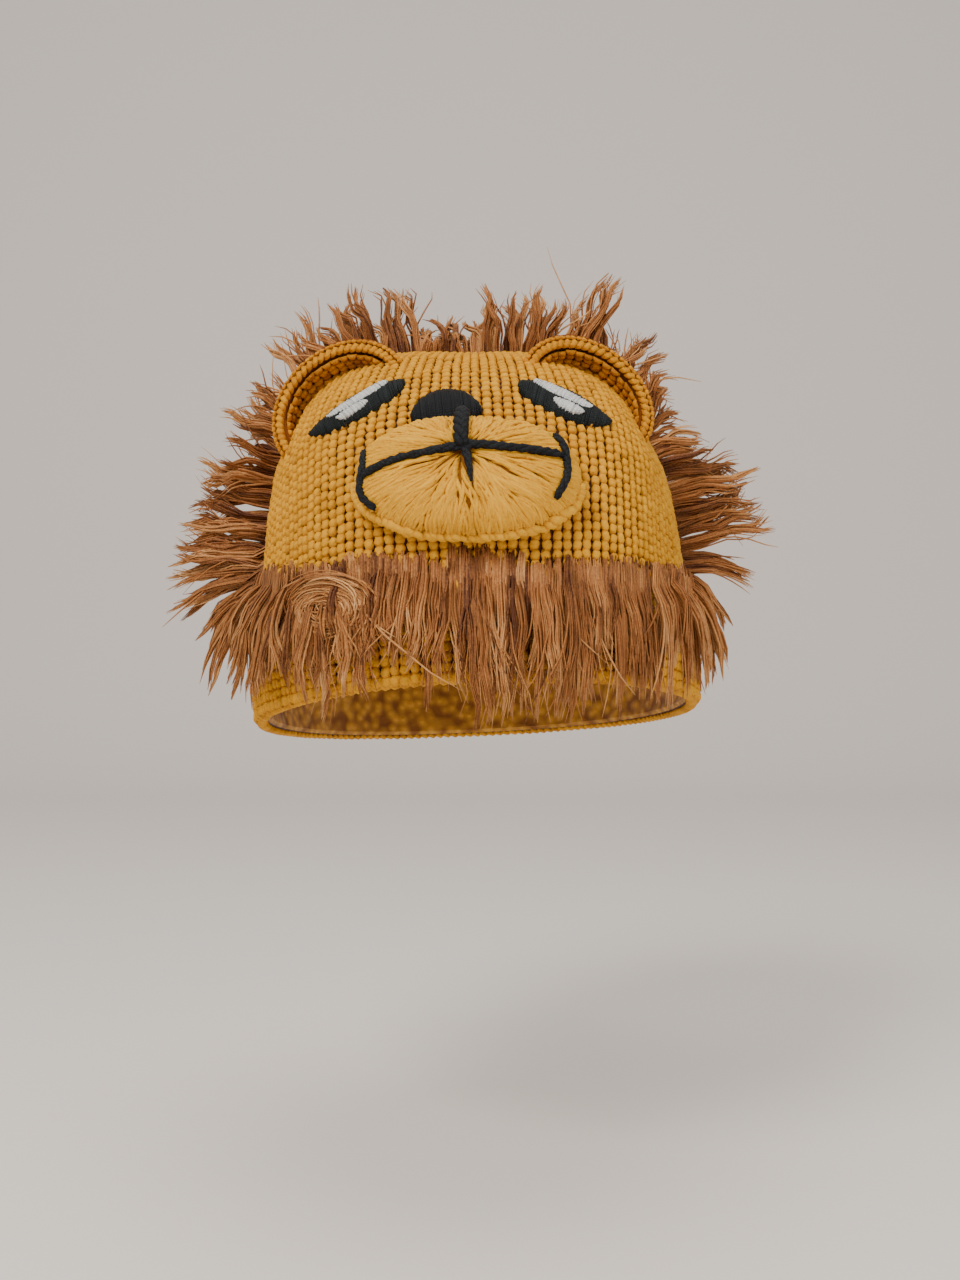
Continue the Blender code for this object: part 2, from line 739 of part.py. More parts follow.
def add_lock(bm, root, normal, along, tip):
    """A flat tapered lock on a curve from the strip to its tip, bulging off the cap."""
    middle = (root + tip) / 2 + normal * LOCK_BULGE
    rings = []
    for ring in range(LOCK_RINGS):
        share = ring / LOCK_RINGS
        spot = root.lerp(middle, share).lerp(middle.lerp(tip, share), share)
        heading = (middle - root).lerp(tip - middle, share).normalized()
        outwards = along.cross(heading).normalized()
        sideways = heading.cross(outwards)
        girth = 0.70 + 0.90 * share - 1.30 * share * share
        rings.append(lock_section(bm, spot, sideways, outwards, girth))
    point = bm.verts.new(tip)
    for low, high in zip(rings, rings[1:]):
        for corner in range(LOCK_SIDES):
            beside = (corner + 1) % LOCK_SIDES
            bm.faces.new((low[corner], low[beside], high[beside], high[corner]))
    for corner in range(LOCK_SIDES):
        bm.faces.new((rings[-1][corner], rings[-1][(corner + 1) % LOCK_SIDES], point))
    bm.faces.new(list(reversed(rings[0])))


def make_mane(collection, material, tree, cutters):
    samples = mane_samples(tree)
    strip = make_strip(samples, tree, collection)
    bm = bmesh.new()
    for place, tip in lock_places(samples, tree):
        spot, normal, along = loop_frame(samples, place, tree)
        add_lock(bm, spot + normal * STRIP_THICKNESS / 2, normal, along, tip)
    mesh = bpy.data.meshes.new("locks")
    bm.to_mesh(mesh)
    bm.free()
    face_outwards(mesh)
    locks = bpy.data.objects.new("locks", mesh)
    collection.objects.link(locks)
    union = boolean(strip, locks, "UNION")
    union.use_self = True
    apply_modifiers(strip)
    bpy.data.objects.remove(locks)
    for cutter in cutters:
        boolean(strip, cutter, "DIFFERENCE")
        apply_modifiers(strip)
    return finish_piece(strip, material)


def main():
    clear_scene()
    collection = bpy.data.collections.new("lion_beanie")
    cutters = bpy.data.collections.new("cutters")
    bpy.context.scene.collection.children.link(collection)
    bpy.context.scene.collection.children.link(cutters)
    yarn = make_material("mustard_yarn", YELLOW, 0.9)
    ear_yarn = make_material("ear_yarn", EAR_YELLOW, 0.9)
    muzzle_yarn = make_material("muzzle_yarn", MUZZLE_YELLOW, 0.85)
    black = make_material("black_yarn", BLACK, 0.7)
    eye_black = make_material("eye_black_yarn", EYE_BLACK, 0.6)
    white = make_material("white_yarn", WHITE, 0.7)
    brown = make_material("mane_yarn", BROWN, 0.65)
    make_cap(collection, yarn)
    tree = cap_tree()
    muzzle = make_pad("muzzle", collection, muzzle_yarn, tree, muzzle_shape, MUZZLE_FACETS)
    make_mouth(collection, black, object_tree(muzzle))
    make_pad("nose", collection, black, tree, nose_shape, NOSE_FACETS)
    for eye in EYES:
        make_eye(eye, collection, eye_black, white, tree)
    cutter = cap_cutter("cap_clearance", SEAT_GAP, cutters)
    for ear in EARS:
        make_ear(ear, collection, ear_yarn, cutter)
    make_mane(collection, brown, tree, [cutter])


main()
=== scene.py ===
"""The looks of the lion beanie: knitted, stitched and laid yarn over the solids of the CAD.

Metres, +Z up, the face looks along -Y, and +X is the wearer's left.
"""
import math

import bpy
import numpy as np
from mathutils import Matrix, Vector
from mathutils.bvhtree import BVHTree


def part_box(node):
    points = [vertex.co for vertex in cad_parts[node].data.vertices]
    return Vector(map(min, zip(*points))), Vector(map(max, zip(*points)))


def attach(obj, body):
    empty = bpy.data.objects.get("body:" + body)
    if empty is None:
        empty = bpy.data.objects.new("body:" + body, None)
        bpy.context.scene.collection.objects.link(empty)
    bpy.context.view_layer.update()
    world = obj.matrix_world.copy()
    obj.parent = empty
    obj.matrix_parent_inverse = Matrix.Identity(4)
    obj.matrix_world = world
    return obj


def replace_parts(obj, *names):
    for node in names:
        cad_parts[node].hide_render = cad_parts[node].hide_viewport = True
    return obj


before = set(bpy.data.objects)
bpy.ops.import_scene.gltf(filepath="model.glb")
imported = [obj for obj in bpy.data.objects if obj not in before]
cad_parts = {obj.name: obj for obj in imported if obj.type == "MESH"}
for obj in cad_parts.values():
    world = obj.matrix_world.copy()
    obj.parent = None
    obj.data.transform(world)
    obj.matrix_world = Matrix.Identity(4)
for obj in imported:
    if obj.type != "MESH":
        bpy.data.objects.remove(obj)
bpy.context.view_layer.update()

CAP_LOW, CAP_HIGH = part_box("cap")

# Sizes that are read from the frame
HALF_WIDTH = (CAP_HIGH[0] - CAP_LOW[0]) / 2
FRONT_DEPTH = -CAP_LOW[1]
CROWN_TOP = CAP_HIGH[2]

# Knitting
WALES = 84
ROW_PITCH = 0.0033
LEG_WIDTH = 0.0036
LEG_THICKNESS = 0.0024
LEG_LIFT = 0.0004
KNIT_HEIGHT = LEG_LIFT + LEG_THICKNESS / 2
HEM_RADIUS = 0.0022
HEM_STITCH_HALF_WIDTH = 0.0021
HEM_STITCH_HALF_THICKNESS = 0.0013
YARN_TWIST = 0.004
STITCH_SEED = 5

# The crown's seam lies under the mane: its lean to the back, and how far it turns to each side
SEAM_Y = 0.010
SEAM_TURN = 70.0
GRID_ROWS = 24
RIM_SECTORS = 21
NORMAL_STEP = 0.003

# Muzzle, mouth, nose, eyes and ears, as in the CAD
MUZZLE_ACROSS = 0.019
MUZZLE_UP = 0.522
MUZZLE_HALF_WIDTH = 0.0360
MUZZLE_HALF_HEIGHT = 0.0182
MUZZLE_THICKNESS = 0.0165
MUZZLE_SQUARE = 2.4
MUZZLE_CREASE = 0.0022
MUZZLE_CREASE_UP = 0.16
MUZZLE_CREASE_REACH = 0.20
MUZZLE_STRANDS = 1300
MUZZLE_STRAND_RADIUS = 0.00055
MUZZLE_ROPE_FROM = 188.0
MUZZLE_ROPE_TO = 352.0
MUZZLE_ROPE_STITCHES = 46
MUZZLE_ROPE_HALF_WIDTH = 0.0016
MUZZLE_ROPE_HALF_THICKNESS = 0.0013
FAN_CENTRE = (-0.03, 0.20)
MOUTH_CORD_RADIUS = 0.00135
MOUTH_FUZZ = 1.15
MOUTH_TWIST = 0.011
MOUTH_RINGS = 26
MOUTH_PLIES = 3
MOUTH_POINTS = [
    # run, across, up, girth
    ("line", -0.83, -0.07, 1.0),
    ("line", -0.59, 0.07, 1.0),
    ("line", -0.13, 0.23, 1.0),
    ("line", 0.06, 0.28, 1.0),
    ("line", 0.42, 0.25, 1.0),
    ("line", 0.76, 0.24, 1.0),
    ("right_bar", -0.83, 0.40, 0.8),
    ("right_bar", -0.83, -0.07, 0.9),
    ("right_bar", -0.82, -0.32, 0.9),
    ("right_bar", -0.72, -0.56, 0.8),
    ("left_bar", 0.70, 0.62, 0.8),
    ("left_bar", 0.765, 0.34, 0.9),
    ("left_bar", 0.77, -0.02, 0.9),
    ("left_bar", 0.69, -0.45, 0.8),
    ("stem", -0.045, 1.16, 1.6),
    ("stem", -0.045, 0.84, 1.6),
    ("stem", -0.045, 0.58, 1.6),
    ("stem", -0.035, 0.24, 1.5),
    ("centre", -0.02, 0.24, 1.0),
    ("centre", 0.01, 0.00, 0.8),
    ("centre", 0.03, -0.26, 0.3),
]
NOSE_ACROSS = -0.068
NOSE_UP = 0.712
NOSE_HALF_WIDTH = 0.0114
NOSE_RISE = 0.0105
NOSE_FOOT = 0.0034
NOSE_SLANT = 7.0
EYE_HALF_LENGTH = 0.0175
EYE_HALF_HEIGHT = 0.0055
EYES = [
    # name, side, across, up, length, height, slant in degrees
    ("eye_right", -1, 0.430, 0.752, 1.035, 0.91, 28.0),
    ("eye_left", 1, 0.402, 0.761, 0.960, 1.09, 22.0),
]
EYE_WHITES = [
    # name, along, across, half length, half height, extra slant
    ("white_upper", -0.08, 0.30, 0.62, 0.24, -4.0),
    ("white_lower", 0.10, -0.32, 0.30, 0.22, -4.0),
]
SATIN_PITCH = 0.00045
SATIN_RADIUS = 0.00040
SATIN_LIFT = 0.0030
EAR_HALF_LENGTH = 0.0228
EAR_HALF_HEIGHT = 0.0185
EAR_DEPTH = 0.0150
EAR_WALL = 0.0038
EARS = [
    # name, side, across, along, up, length, height, cup, slope, outward, upward
    ("ear_right", -1, 0.530, -0.450, 0.790, 1.00, 1.02, 1.00, 40.0, 14.0, 10.0),
    ("ear_left", 1, 0.525, -0.450, 0.818, 0.96, 0.88, 0.94, 36.0, 14.0, 10.0),
]
EAR_ROWS = 9
EAR_STITCH = 0.0034
EAR_STITCH_HALF_WIDTH = 0.00150
EAR_STITCH_HALF_THICKNESS = 0.00095
EAR_RIM_PITCH = 0.0023

# Mane, as in the CAD: the loop and the tips of the main locks, as shares of the half width,
# the front depth and the rise
MANE_LOOP = [
    # name, across, along, up
    ("brow", 0.00, -1.00, 0.300),
    ("brow_side", 0.44, -0.92, 0.298),
    ("temple_front", 0.80, -0.60, 0.285),
    ("temple", 0.97, -0.26, 0.290),
    ("cheek", 0.97, 0.00, 0.370),
    ("side", 0.93, 0.08, 0.520),
    ("ear_back", 0.86, 0.10, 0.700),
    ("crown_corner", 0.60, 0.10, 0.910),
    ("crown", 0.00, 0.10, 1.000),
]
LOCK_TIPS = [
    # name, across, along, up
    ("brow_1", 0.092, -1.090, -0.110),
    ("brow_2", 0.357, -1.040, -0.098),
    ("brow_3", 0.490, -0.990, -0.100),
    ("brow_4", 0.660, -0.880, -0.110),
    ("brow_5", 0.780, -0.780, -0.100),
    ("left_corner_1", 0.960, -0.560, -0.060),
    ("left_corner_2", 1.093, -0.320, -0.033),
    ("left_corner_3", 1.195, -0.120, 0.019),
    ("left_droop", 1.233, 0.020, 0.154),
    ("left_1", 1.330, 0.100, 0.330),
    ("left_2", 1.429, 0.060, 0.500),
    ("left_3", 1.378, 0.160, 0.545),
    ("left_4", 1.396, 0.080, 0.622),
    ("left_5", 1.322, 0.180, 0.677),
    ("left_6", 1.130, 0.120, 0.761),
    ("left_7", 1.041, 0.200, 0.832),
    ("crown_1", 0.955, 0.160, 0.984),
    ("crown_2", 0.922, 0.240, 1.120),
    ("crown_3", 0.682, 0.140, 1.300),
    ("crown_4", 0.339, 0.240, 1.263),
    ("crown_5", 0.174, 0.150, 1.270),
    ("crown_6", -0.030, 0.260, 1.170),
    ("crown_7", -0.155, 0.160, 1.146),
    ("crown_8", -0.345, 0.240, 1.290),
    ("crown_9", -0.607, 0.150, 1.268),
    ("crown_10", -0.908, 0.200, 1.143),
    ("right_7", -1.126, 0.140, 0.894),
    ("right_6", -1.090, 0.200, 0.784),
    ("right_5", -1.266, 0.100, 0.638),
    ("right_4", -1.382, 0.160, 0.486),
    ("right_3", -1.359, 0.060, 0.396),
    ("right_2", -1.459, 0.120, 0.283),
    ("right_1", -1.406, 0.040, 0.186),
    ("right_droop", -1.242, -0.060, 0.106),
    ("right_corner_2", -1.149, -0.240, -0.040),
    ("right_corner_1", -0.985, -0.500, -0.070),
    ("brow_9", -0.820, -0.740, -0.050),
    ("brow_8", -0.655, -0.880, -0.078),
    ("brow_7", -0.420, -1.010, -0.040),
    ("brow_6", -0.130, -1.080, -0.058),
]
LOCK_PITCH = 0.0075
LOCK_SCATTER = 0.0110
LOCK_WIDTH = 0.0120
LOCK_THICKNESS = 0.0052
LOCK_BULGE = 0.0050
SHORTEST_FILLER = 0.66
STRANDS_PER_LOCK = 84
STRAND_RADIUS = 0.00036
STRAND_RINGS = 8
CLUMPS = 5
MANE_CURL = 0.0050
FRINGE_CURL = 0.0018

# The swirl of loose fibre in the fringe, in shares of the half width and of the rise
SWIRL_ACROSS = -0.490
SWIRL_UP = 0.185
SWIRL_RADIUS = 0.0125
SWIRL_STRANDS = 420
SWIRL_LIFT = 0.0075
SWIRL_STRETCH = 1.15

# Camera: the photograph's place, from the hat's middle
CAMERA_X = 0.0055
CAMERA_DISTANCE = 0.591
CAMERA_OVER_RIM = 0.013
LENS_MM = 42.2
SENSOR_MM = 36.0
FLOOR_UNDER_RIM = 0.186
WALL_DISTANCE = 1.3
WALL_CURVE = 0.3
WALL_HEIGHT = 2.2
WALL_HALF_WIDTH = 2.5


def vector_length(values):
    """The lengths of an array's vectors, kept as a last axis of one."""
    return np.sqrt((values * values).sum(axis=-1, keepdims=True))


def unit(values):
    """The same vectors with a length of one."""
    return values / np.maximum(vector_length(values), 1e-12)


def object_arrays(obj):
    """A mesh object's points and triangles as arrays."""
    mesh = obj.data
    mesh.calc_loop_triangles()
    points = np.empty(len(mesh.vertices) * 3)
    mesh.vertices.foreach_get("co", points)
    triangles = np.empty(len(mesh.loop_triangles) * 3, dtype=np.int32)
    mesh.loop_triangles.foreach_get("vertices", triangles)
    return points.reshape(-1, 3), triangles.reshape(-1, 3)


def outer_tree(obj, centre):
    """A tree of the faces that look away from a centre."""
    points, triangles = object_arrays(obj)
    a, b, c = (points[triangles[:, corner]] for corner in range(3))
    normals = np.cross(b - a, c - a)
    outwards = (normals * ((a + b + c) / 3 - centre)).sum(axis=1) > 0
    return BVHTree.FromPolygons(points.tolist(), triangles[outwards].tolist())


def nearest(tree, places):
    """The nearest points of a tree to many places, with the normals there."""
    spots = np.empty_like(places)
    normals = np.empty_like(places)
    for index, place in enumerate(places):
        spot, normal, _, _ = tree.find_nearest(place)
        spots[index] = spot
        normals[index] = normal
    return spots, normals


def tube_mesh(name, paths, normals, wide, high, sides, tint, twist):
    """Many closed tubes in one mesh. Paths and normals are (tubes, rings, 3), wide and high
    are the half width and half thickness (tubes, rings), tint is a value for each tube's
    ring, and twist is the length of yarn for one turn of its ply."""
    tubes, rings, _ = paths.shape
    along = unit(np.gradient(paths, axis=1))
    sideways = unit(np.cross(along, normals))
    outwards = np.cross(sideways, along)
    turns = np.arange(sides) * 2 * math.pi / sides
    cos, sin = np.cos(turns)[None, None, :, None], np.sin(turns)[None, None, :, None]
    section = (
        sideways[:, :, None] * wide[:, :, None, None] * cos
        + outwards[:, :, None] * high[:, :, None, None] * sin
    )
    points = (paths[:, :, None] + section).reshape(-1, 3)
    tube, ring, side = np.meshgrid(
        np.arange(tubes), np.arange(rings - 1), np.arange(sides), indexing="ij"
    )
    base = (tube * rings + ring) * sides
    beside = (side + 1) % sides
    quads = np.stack([base + side, base + sides + side, base + sides + beside, base + beside], -1)
    first = np.arange(tubes)[:, None] * rings * sides + np.arange(sides)
    last = first + (rings - 1) * sides
    loops = np.concatenate([quads.reshape(-1), first.reshape(-1), last[:, ::-1].reshape(-1)])
    quad_count = quads.shape[0] * quads.shape[1] * quads.shape[2]
    sizes = np.concatenate([np.full(quad_count, 4), np.full(2 * tubes, sides)])
    starts = np.concatenate([[0], np.cumsum(sizes)[:-1]])
    mesh = bpy.data.meshes.new(name)
    mesh.vertices.add(len(points))
    mesh.vertices.foreach_set("co", points.reshape(-1))
    mesh.loops.add(len(loops))
    mesh.loops.foreach_set("vertex_index", loops.astype(np.int32))
    mesh.polygons.add(len(sizes))
    mesh.polygons.foreach_set("loop_start", starts.astype(np.int32))
    mesh.update(calc_edges=True)
    steps = vector_length(np.diff(paths, axis=1))[..., 0]
    reach = np.concatenate([np.zeros((tubes, 1)), np.cumsum(steps, axis=1)], axis=1) / twist
    low, up = reach[:, :-1, None], reach[:, 1:, None]
    near, far = side / sides, (side + 1) / sides
    ones = np.ones_like(near)
    quad_uv = np.stack(
        [
            np.stack([low * ones, near], -1),
            np.stack([up * ones, near], -1),
            np.stack([up * ones, far], -1),
            np.stack([low * ones, far], -1),
        ],
        axis=-2,
    )
    cap_uv = np.zeros((2 * tubes * sides, 2))
    layer = mesh.uv_layers.new(name="ply")
    layer.data.foreach_set("uv", np.concatenate([quad_uv.reshape(-1, 2), cap_uv]).reshape(-1))
    shade = mesh.attributes.new("tint", "FLOAT", "POINT")
    shade.data.foreach_set("value", np.repeat(tint.reshape(-1), sides).astype(np.float32))
    mesh.shade_smooth()
    obj = bpy.data.objects.new(name, mesh)
    bpy.context.scene.collection.objects.link(obj)
    return obj


def dress(obj, material):
    """Gives a piece its material and the body that it rides on."""
    obj.data.materials.clear()
    obj.data.materials.append(material)
    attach(obj, "root")
    return obj


def node(tree, kind, **settings):
    """A new shader node."""
    made = tree.nodes.new(kind)
    for key, value in settings.items():
        setattr(made, key, value)
    return made


def maths(tree, operation, first, second=None):
    """A maths node over sockets or numbers."""
    made = node(tree, "ShaderNodeMath", operation=operation)
    for socket, value in zip(made.inputs, (first, second)):
        if value is None:
            continue
        if isinstance(value, (int, float)):
            socket.default_value = value
        else:
            tree.links.new(value, socket)
    return made.outputs[0]


def noise(tree, place, scale, detail=3.0):
    """Noise at a place."""
    made = node(tree, "ShaderNodeTexNoise")
    made.inputs["Scale"].default_value = scale
    made.inputs["Detail"].default_value = detail
    tree.links.new(place, made.inputs["Vector"])
    return made.outputs["Fac"]


def yarn_material(name, dark, middle, light, roughness, sheen, ply=0.35, fuzz=0.25):
    """Yarn: a colour by the tint of each strand, with twisted plies and fuzz as bump. The tint
    holds random tone and, where a piece sets it so, painted shade and painted light; a mesh
    with no tint takes the darkest colour, painted shade.
    """
    material = bpy.data.materials.new(name)
    material.use_nodes = True
    tree = material.node_tree
    shader = tree.nodes["Principled BSDF"]
    shader.inputs["Roughness"].default_value = roughness
    shader.inputs["Sheen Weight"].default_value = sheen
    shader.inputs["Sheen Roughness"].default_value = 0.45
    shader.inputs["Sheen Tint"].default_value = (*light, 1.0)
    shader.inputs["Specular IOR Level"].default_value = 0.25
    place = node(tree, "ShaderNodeTexCoord").outputs["Object"]
    tint = node(tree, "ShaderNodeAttribute", attribute_name="tint").outputs["Fac"]
    blotch = maths(tree, "MULTIPLY", maths(tree, "SUBTRACT", noise(tree, place, 90), 0.5), 0.45)
    speck = maths(tree, "MULTIPLY", maths(tree, "SUBTRACT", noise(tree, place, 1400), 0.5), 0.5)
    mixed = maths(tree, "ADD", maths(tree, "ADD", tint, blotch), speck)
    ramp = node(tree, "ShaderNodeValToRGB")
    ramp.color_ramp.elements[0].position = 0.08
    ramp.color_ramp.elements[0].color = (*dark, 1.0)
    ramp.color_ramp.elements[1].position = 0.95
    ramp.color_ramp.elements[1].color = (*light, 1.0)
    centre = ramp.color_ramp.elements.new(0.5)
    centre.color = (*middle, 1.0)
    tree.links.new(mixed, ramp.inputs["Fac"])
    tree.links.new(ramp.outputs["Color"], shader.inputs["Base Color"])
    ply_place = node(tree, "ShaderNodeSeparateXYZ")
    tree.links.new(node(tree, "ShaderNodeUVMap", uv_map="ply").outputs["UV"], ply_place.inputs[0])
    turns = maths(tree, "ADD", ply_place.outputs["X"], ply_place.outputs["Y"])
    wave = maths(tree, "SINE", maths(tree, "MULTIPLY", turns, 4 * math.pi))
    height = maths(
        tree,
        "ADD",
        maths(tree, "MULTIPLY", wave, ply),
        maths(tree, "MULTIPLY", noise(tree, place, 2600, 5.0), fuzz * 4),
    )
    bump = node(tree, "ShaderNodeBump")
    bump.inputs["Strength"].default_value = 0.7
    bump.inputs["Distance"].default_value = 0.0004
    tree.links.new(height, bump.inputs["Height"])
    tree.links.new(bump.outputs["Normal"], shader.inputs["Normal"])
    return material


def front_rim_height():
    """The height of the cap's rim at the middle of the front."""
    points, _ = object_arrays(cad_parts["cap"])
    front = points[(points[:, 1] < -0.8 * FRONT_DEPTH) & (abs(points[:, 0]) < 0.2 * HALF_WIDTH)]
    return front[:, 2].min()


RIM_Z = front_rim_height()
AXIS = np.array([0.0, 0.0, (RIM_Z + CROWN_TOP) / 2])
CAP_TREE = outer_tree(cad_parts["cap"], AXIS)


def rise_to(share):
    """The world height at a share of the cap's full rise from the front rim."""
    return RIM_Z + share * (CROWN_TOP - RIM_Z)


def rim_ring(columns):
    """Places round the cap's rim, from the front towards +X, at equal steps of length."""
    points, _ = object_arrays(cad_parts["cap"])
    spots, _ = nearest(CAP_TREE, points)
    outer = points[np.linalg.norm(points - spots, axis=1) < 1e-5]
    turns = np.arctan2(outer[:, 0], -outer[:, 1])
    index = np.floor((turns + math.pi) / (2 * math.pi) * RIM_SECTORS).astype(int) % RIM_SECTORS
    sectors = [outer[index == sector] for sector in range(RIM_SECTORS)]
    lowest = np.array([sector[sector[:, 2].argmin()] for sector in sectors])
    ring = lowest[np.argsort(np.arctan2(lowest[:, 0], -lowest[:, 1]))]
    ring = np.concatenate([ring, ring[:1]])
    reach = np.concatenate([[0], np.cumsum(np.linalg.norm(np.diff(ring, axis=0), axis=1))])
    turn = np.unwrap(np.arctan2(ring[:, 0], -ring[:, 1]))
    front = np.interp(0.0, turn, reach)
    wanted = (front + np.arange(columns) / columns * reach[-1]) % reach[-1]
    even = np.stack([np.interp(wanted, reach, ring[:, axis]) for axis in range(3)], axis=1)
    over_hem = np.array([0.0, 0.0, 2 * HEM_RADIUS])
    return cast_out(even + over_hem) - over_hem


def cast_out(places):
    """The cap's outside, straight out from its axis through each place."""
    spots = np.empty_like(places)
    for index, place in enumerate(places):
        origin = np.array([0.0, 0.0, min(place[2], AXIS[2])])
        found = CAP_TREE.ray_cast(origin, place - origin)[0]
        spots[index] = place if found is None else found
    return spots


def seam_ring(columns):
    """Where each column ends on the crown's seam: front columns and back columns meet."""
    share = np.arange(columns) / columns * 4
    sideways = np.where(share < 1, share, np.where(share < 3, 2 - share, share - 4))
    turn = sideways * math.radians(SEAM_TURN)
    aim = np.stack([np.sin(turn), np.zeros(columns), np.cos(turn)], axis=1)
    return cast_out(AXIS + np.array([0.0, SEAM_Y, 0.0]) + aim * HALF_WIDTH / 2)


def even_steps(line):
    """The same line, (points, 3), with its points at even steps of length."""
    steps = np.linalg.norm(np.diff(line, axis=0), axis=-1)
    reach = np.concatenate([[0], np.cumsum(steps)])
    wanted = np.linspace(0, reach[-1], len(line))
    return np.stack([np.interp(wanted, reach, line[:, axis]) for axis in range(3)], axis=1)


def cap_grid(columns, rows):
    """Points of the cap's outside, (rows, columns), with columns along the wales from the rim
    to the seam. They are stepped evenly along each wale, and across the front and the back."""
    low, top = rim_ring(columns), seam_ring(columns)
    share = np.linspace(0, 1, rows)[:, None, None]
    grid = low * (1 - share) + top * share
    front = np.arange(-columns // 4, columns // 4 + 1)
    for step in range(6):
        grid[1:-1] = cast_out(grid[1:-1].reshape(-1, 3)).reshape(rows - 2, columns, 3)
        for half in (front, front + columns // 2):
            for row in range(1, rows - 1):
                grid[row, half % columns] = even_steps(grid[row, half % columns])
        for column in range(columns):
            grid[:, column] = even_steps(grid[:, column])
    grid[1:-1] = cast_out(grid[1:-1].reshape(-1, 3)).reshape(rows - 2, columns, 3)
    return grid


CAP_GRID = cap_grid(WALES, GRID_ROWS)
WALE_LENGTHS = np.linalg.norm(np.diff(CAP_GRID, axis=0), axis=-1).sum(axis=0)


def cubic(a, b, c, d, share):
    """Values between b and c, on a Catmull-Rom curve through the four."""
    bend = 2 * a - 5 * b + 4 * c - d + share * (3 * (b - c) + d - a)
    return b + 0.5 * share * (c - a + share * bend)


def grid_point(wale, height):
    """The cap's surface at a wale and at a share of the way from rim to seam."""
    first = np.floor(wale).astype(int)
    across = (wale - first)[..., None]
    level = np.clip(height, -0.02, 1.0) * (GRID_ROWS - 1)
    low = np.clip(np.floor(level).astype(int), 0, GRID_ROWS - 2)
    up = (level - low)[..., None]

    def line(row):
        """The points of one row of the grid, between its wales."""
        inside = np.clip(row, 0, GRID_ROWS - 1)
        return cubic(*(CAP_GRID[inside, (first + step) % WALES] for step in (-1, 0, 1, 2)), across)

    before = np.where((low == 0)[..., None], 2 * line(low) - line(low + 1), line(low - 1))
    last = (low == GRID_ROWS - 2)[..., None]
    after = np.where(last, 2 * line(low + 1) - line(low), line(low + 2))
    return cubic(before, line(low), line(low + 1), after, up)


def grid_frame(wale, height):
    """The surface's point and outward normal there."""
    across = grid_point(wale + 0.4, height) - grid_point(wale - 0.4, height)
    up = grid_point(wale, np.minimum(height + 0.01, 1.0)) - grid_point(wale, height - 0.01)
    return grid_point(wale, height), unit(np.cross(across, up))


def knit_legs(name, wales, rng):
    """Stocking stitch: each stitch is two slanted legs that meet in a V."""
    stitches = []
    for wale in wales:
        rows = round(WALE_LENGTHS[wale % WALES] / ROW_PITCH)
        stitches += [(wale, row, rows, side) for row in range(rows) for side in (-1, 1)]
    wale, row, rows, side = np.array(stitches, dtype=float).T[..., None]
    count = len(stitches)
    share = np.array([0.0, 0.30, 0.70, 1.0])[None, :]
    across = wale + side * (0.14 + 0.20 * share ** 0.8) + rng.normal(0, 0.02, (count, 1))
    height = (row - 0.30 + 1.28 * share + rng.normal(0, 0.05, (count, 1))) / rows
    point, normal = grid_frame(across, height)
    lift = LEG_LIFT + 0.0007 * np.sin(share * math.pi) + rng.normal(0, 0.00010, (count, 1))
    paths = point + normal * lift[..., None]
    pitch = np.linalg.norm(grid_point(wale + 0.5, height) - grid_point(wale - 0.5, height), axis=-1)
    girth = np.array([0.30, 1.0, 1.0, 0.30])[None, :]
    wide = np.minimum(LEG_WIDTH, pitch * 0.50) / 2 * girth
    high = np.full((count, 1), LEG_THICKNESS / 2) * np.array([0.45, 1.0, 0.95, 0.40])[None, :]
    # Each leg is darker at both ends, where it dips under its neighbours, and a little lighter over its
    # raised middle: painted shade and painted light.
    tint = 0.55 + rng.normal(0, 0.06, (count, 1)) + np.array([-0.30, 0.05, 0.12, -0.20])[None, :]
    return tube_mesh(name, paths, normal, wide, high, 5, tint, YARN_TWIST)


def rolled_edge(centre, outwards, below, radius, turns):
    """Rings of a slanted stitch that wraps an edge: paths and normals. Outwards and below are
    the edge's directions, and turns are the angles from outwards towards below."""
    facing = outwards * np.cos(turns)[..., None] + below * np.sin(turns)[..., None]
    return centre + facing * radius, facing


def make_hem(rng):
    """The rolled cast-on edge: slanted stitches round the rim."""
    count = WALES * 2
    share = np.array([0.0, 0.3, 0.7, 1.0])[None, :]
    wale = np.arange(count)[:, None] / 2.0 + 0.9 * (share - 0.5)
    point, normal = grid_frame(wale, np.full_like(wale, 0.006))
    turns = np.broadcast_to((share - 0.5) * 3.4 + 0.5, wale.shape)
    down = np.broadcast_to(np.array([0.0, 0.0, -1.0]), normal.shape)
    paths, facing = rolled_edge(point - normal * HEM_RADIUS * 0.7, normal, down, HEM_RADIUS, turns)
    ends = np.array([0.5, 1.0, 1.0, 0.5])[None, :] * np.ones((count, 1))
    tint = 0.5 + rng.normal(0, 0.06, (count, 1)) + np.zeros((1, 4))
    wide = HEM_STITCH_HALF_WIDTH * ends
    high = HEM_STITCH_HALF_THICKNESS * ends
    return tube_mesh("hem_stitches", paths, facing, wide, high, 6, tint, YARN_TWIST)


def cast_front(x, z):
    """The cap's outside straight behind places in the front view."""
    x, z = np.broadcast_arrays(x, z)
    spots = np.empty((x.size, 3))
    for index, (across, up) in enumerate(zip(x.reshape(-1), z.reshape(-1))):
        spots[index] = CAP_TREE.ray_cast((across, -3 * FRONT_DEPTH, up), (0, 1, 0))[0]
    return spots.reshape(x.shape + (3,))


def front_frame(x, z):
    """The cap's outside there, with a softened outward normal."""
    sideways = cast_front(x + NORMAL_STEP, z) - cast_front(x - NORMAL_STEP, z)
    upwards = cast_front(x, z + NORMAL_STEP) - cast_front(x, z - NORMAL_STEP)
    return cast_front(x, z), unit(np.cross(sideways, upwards))


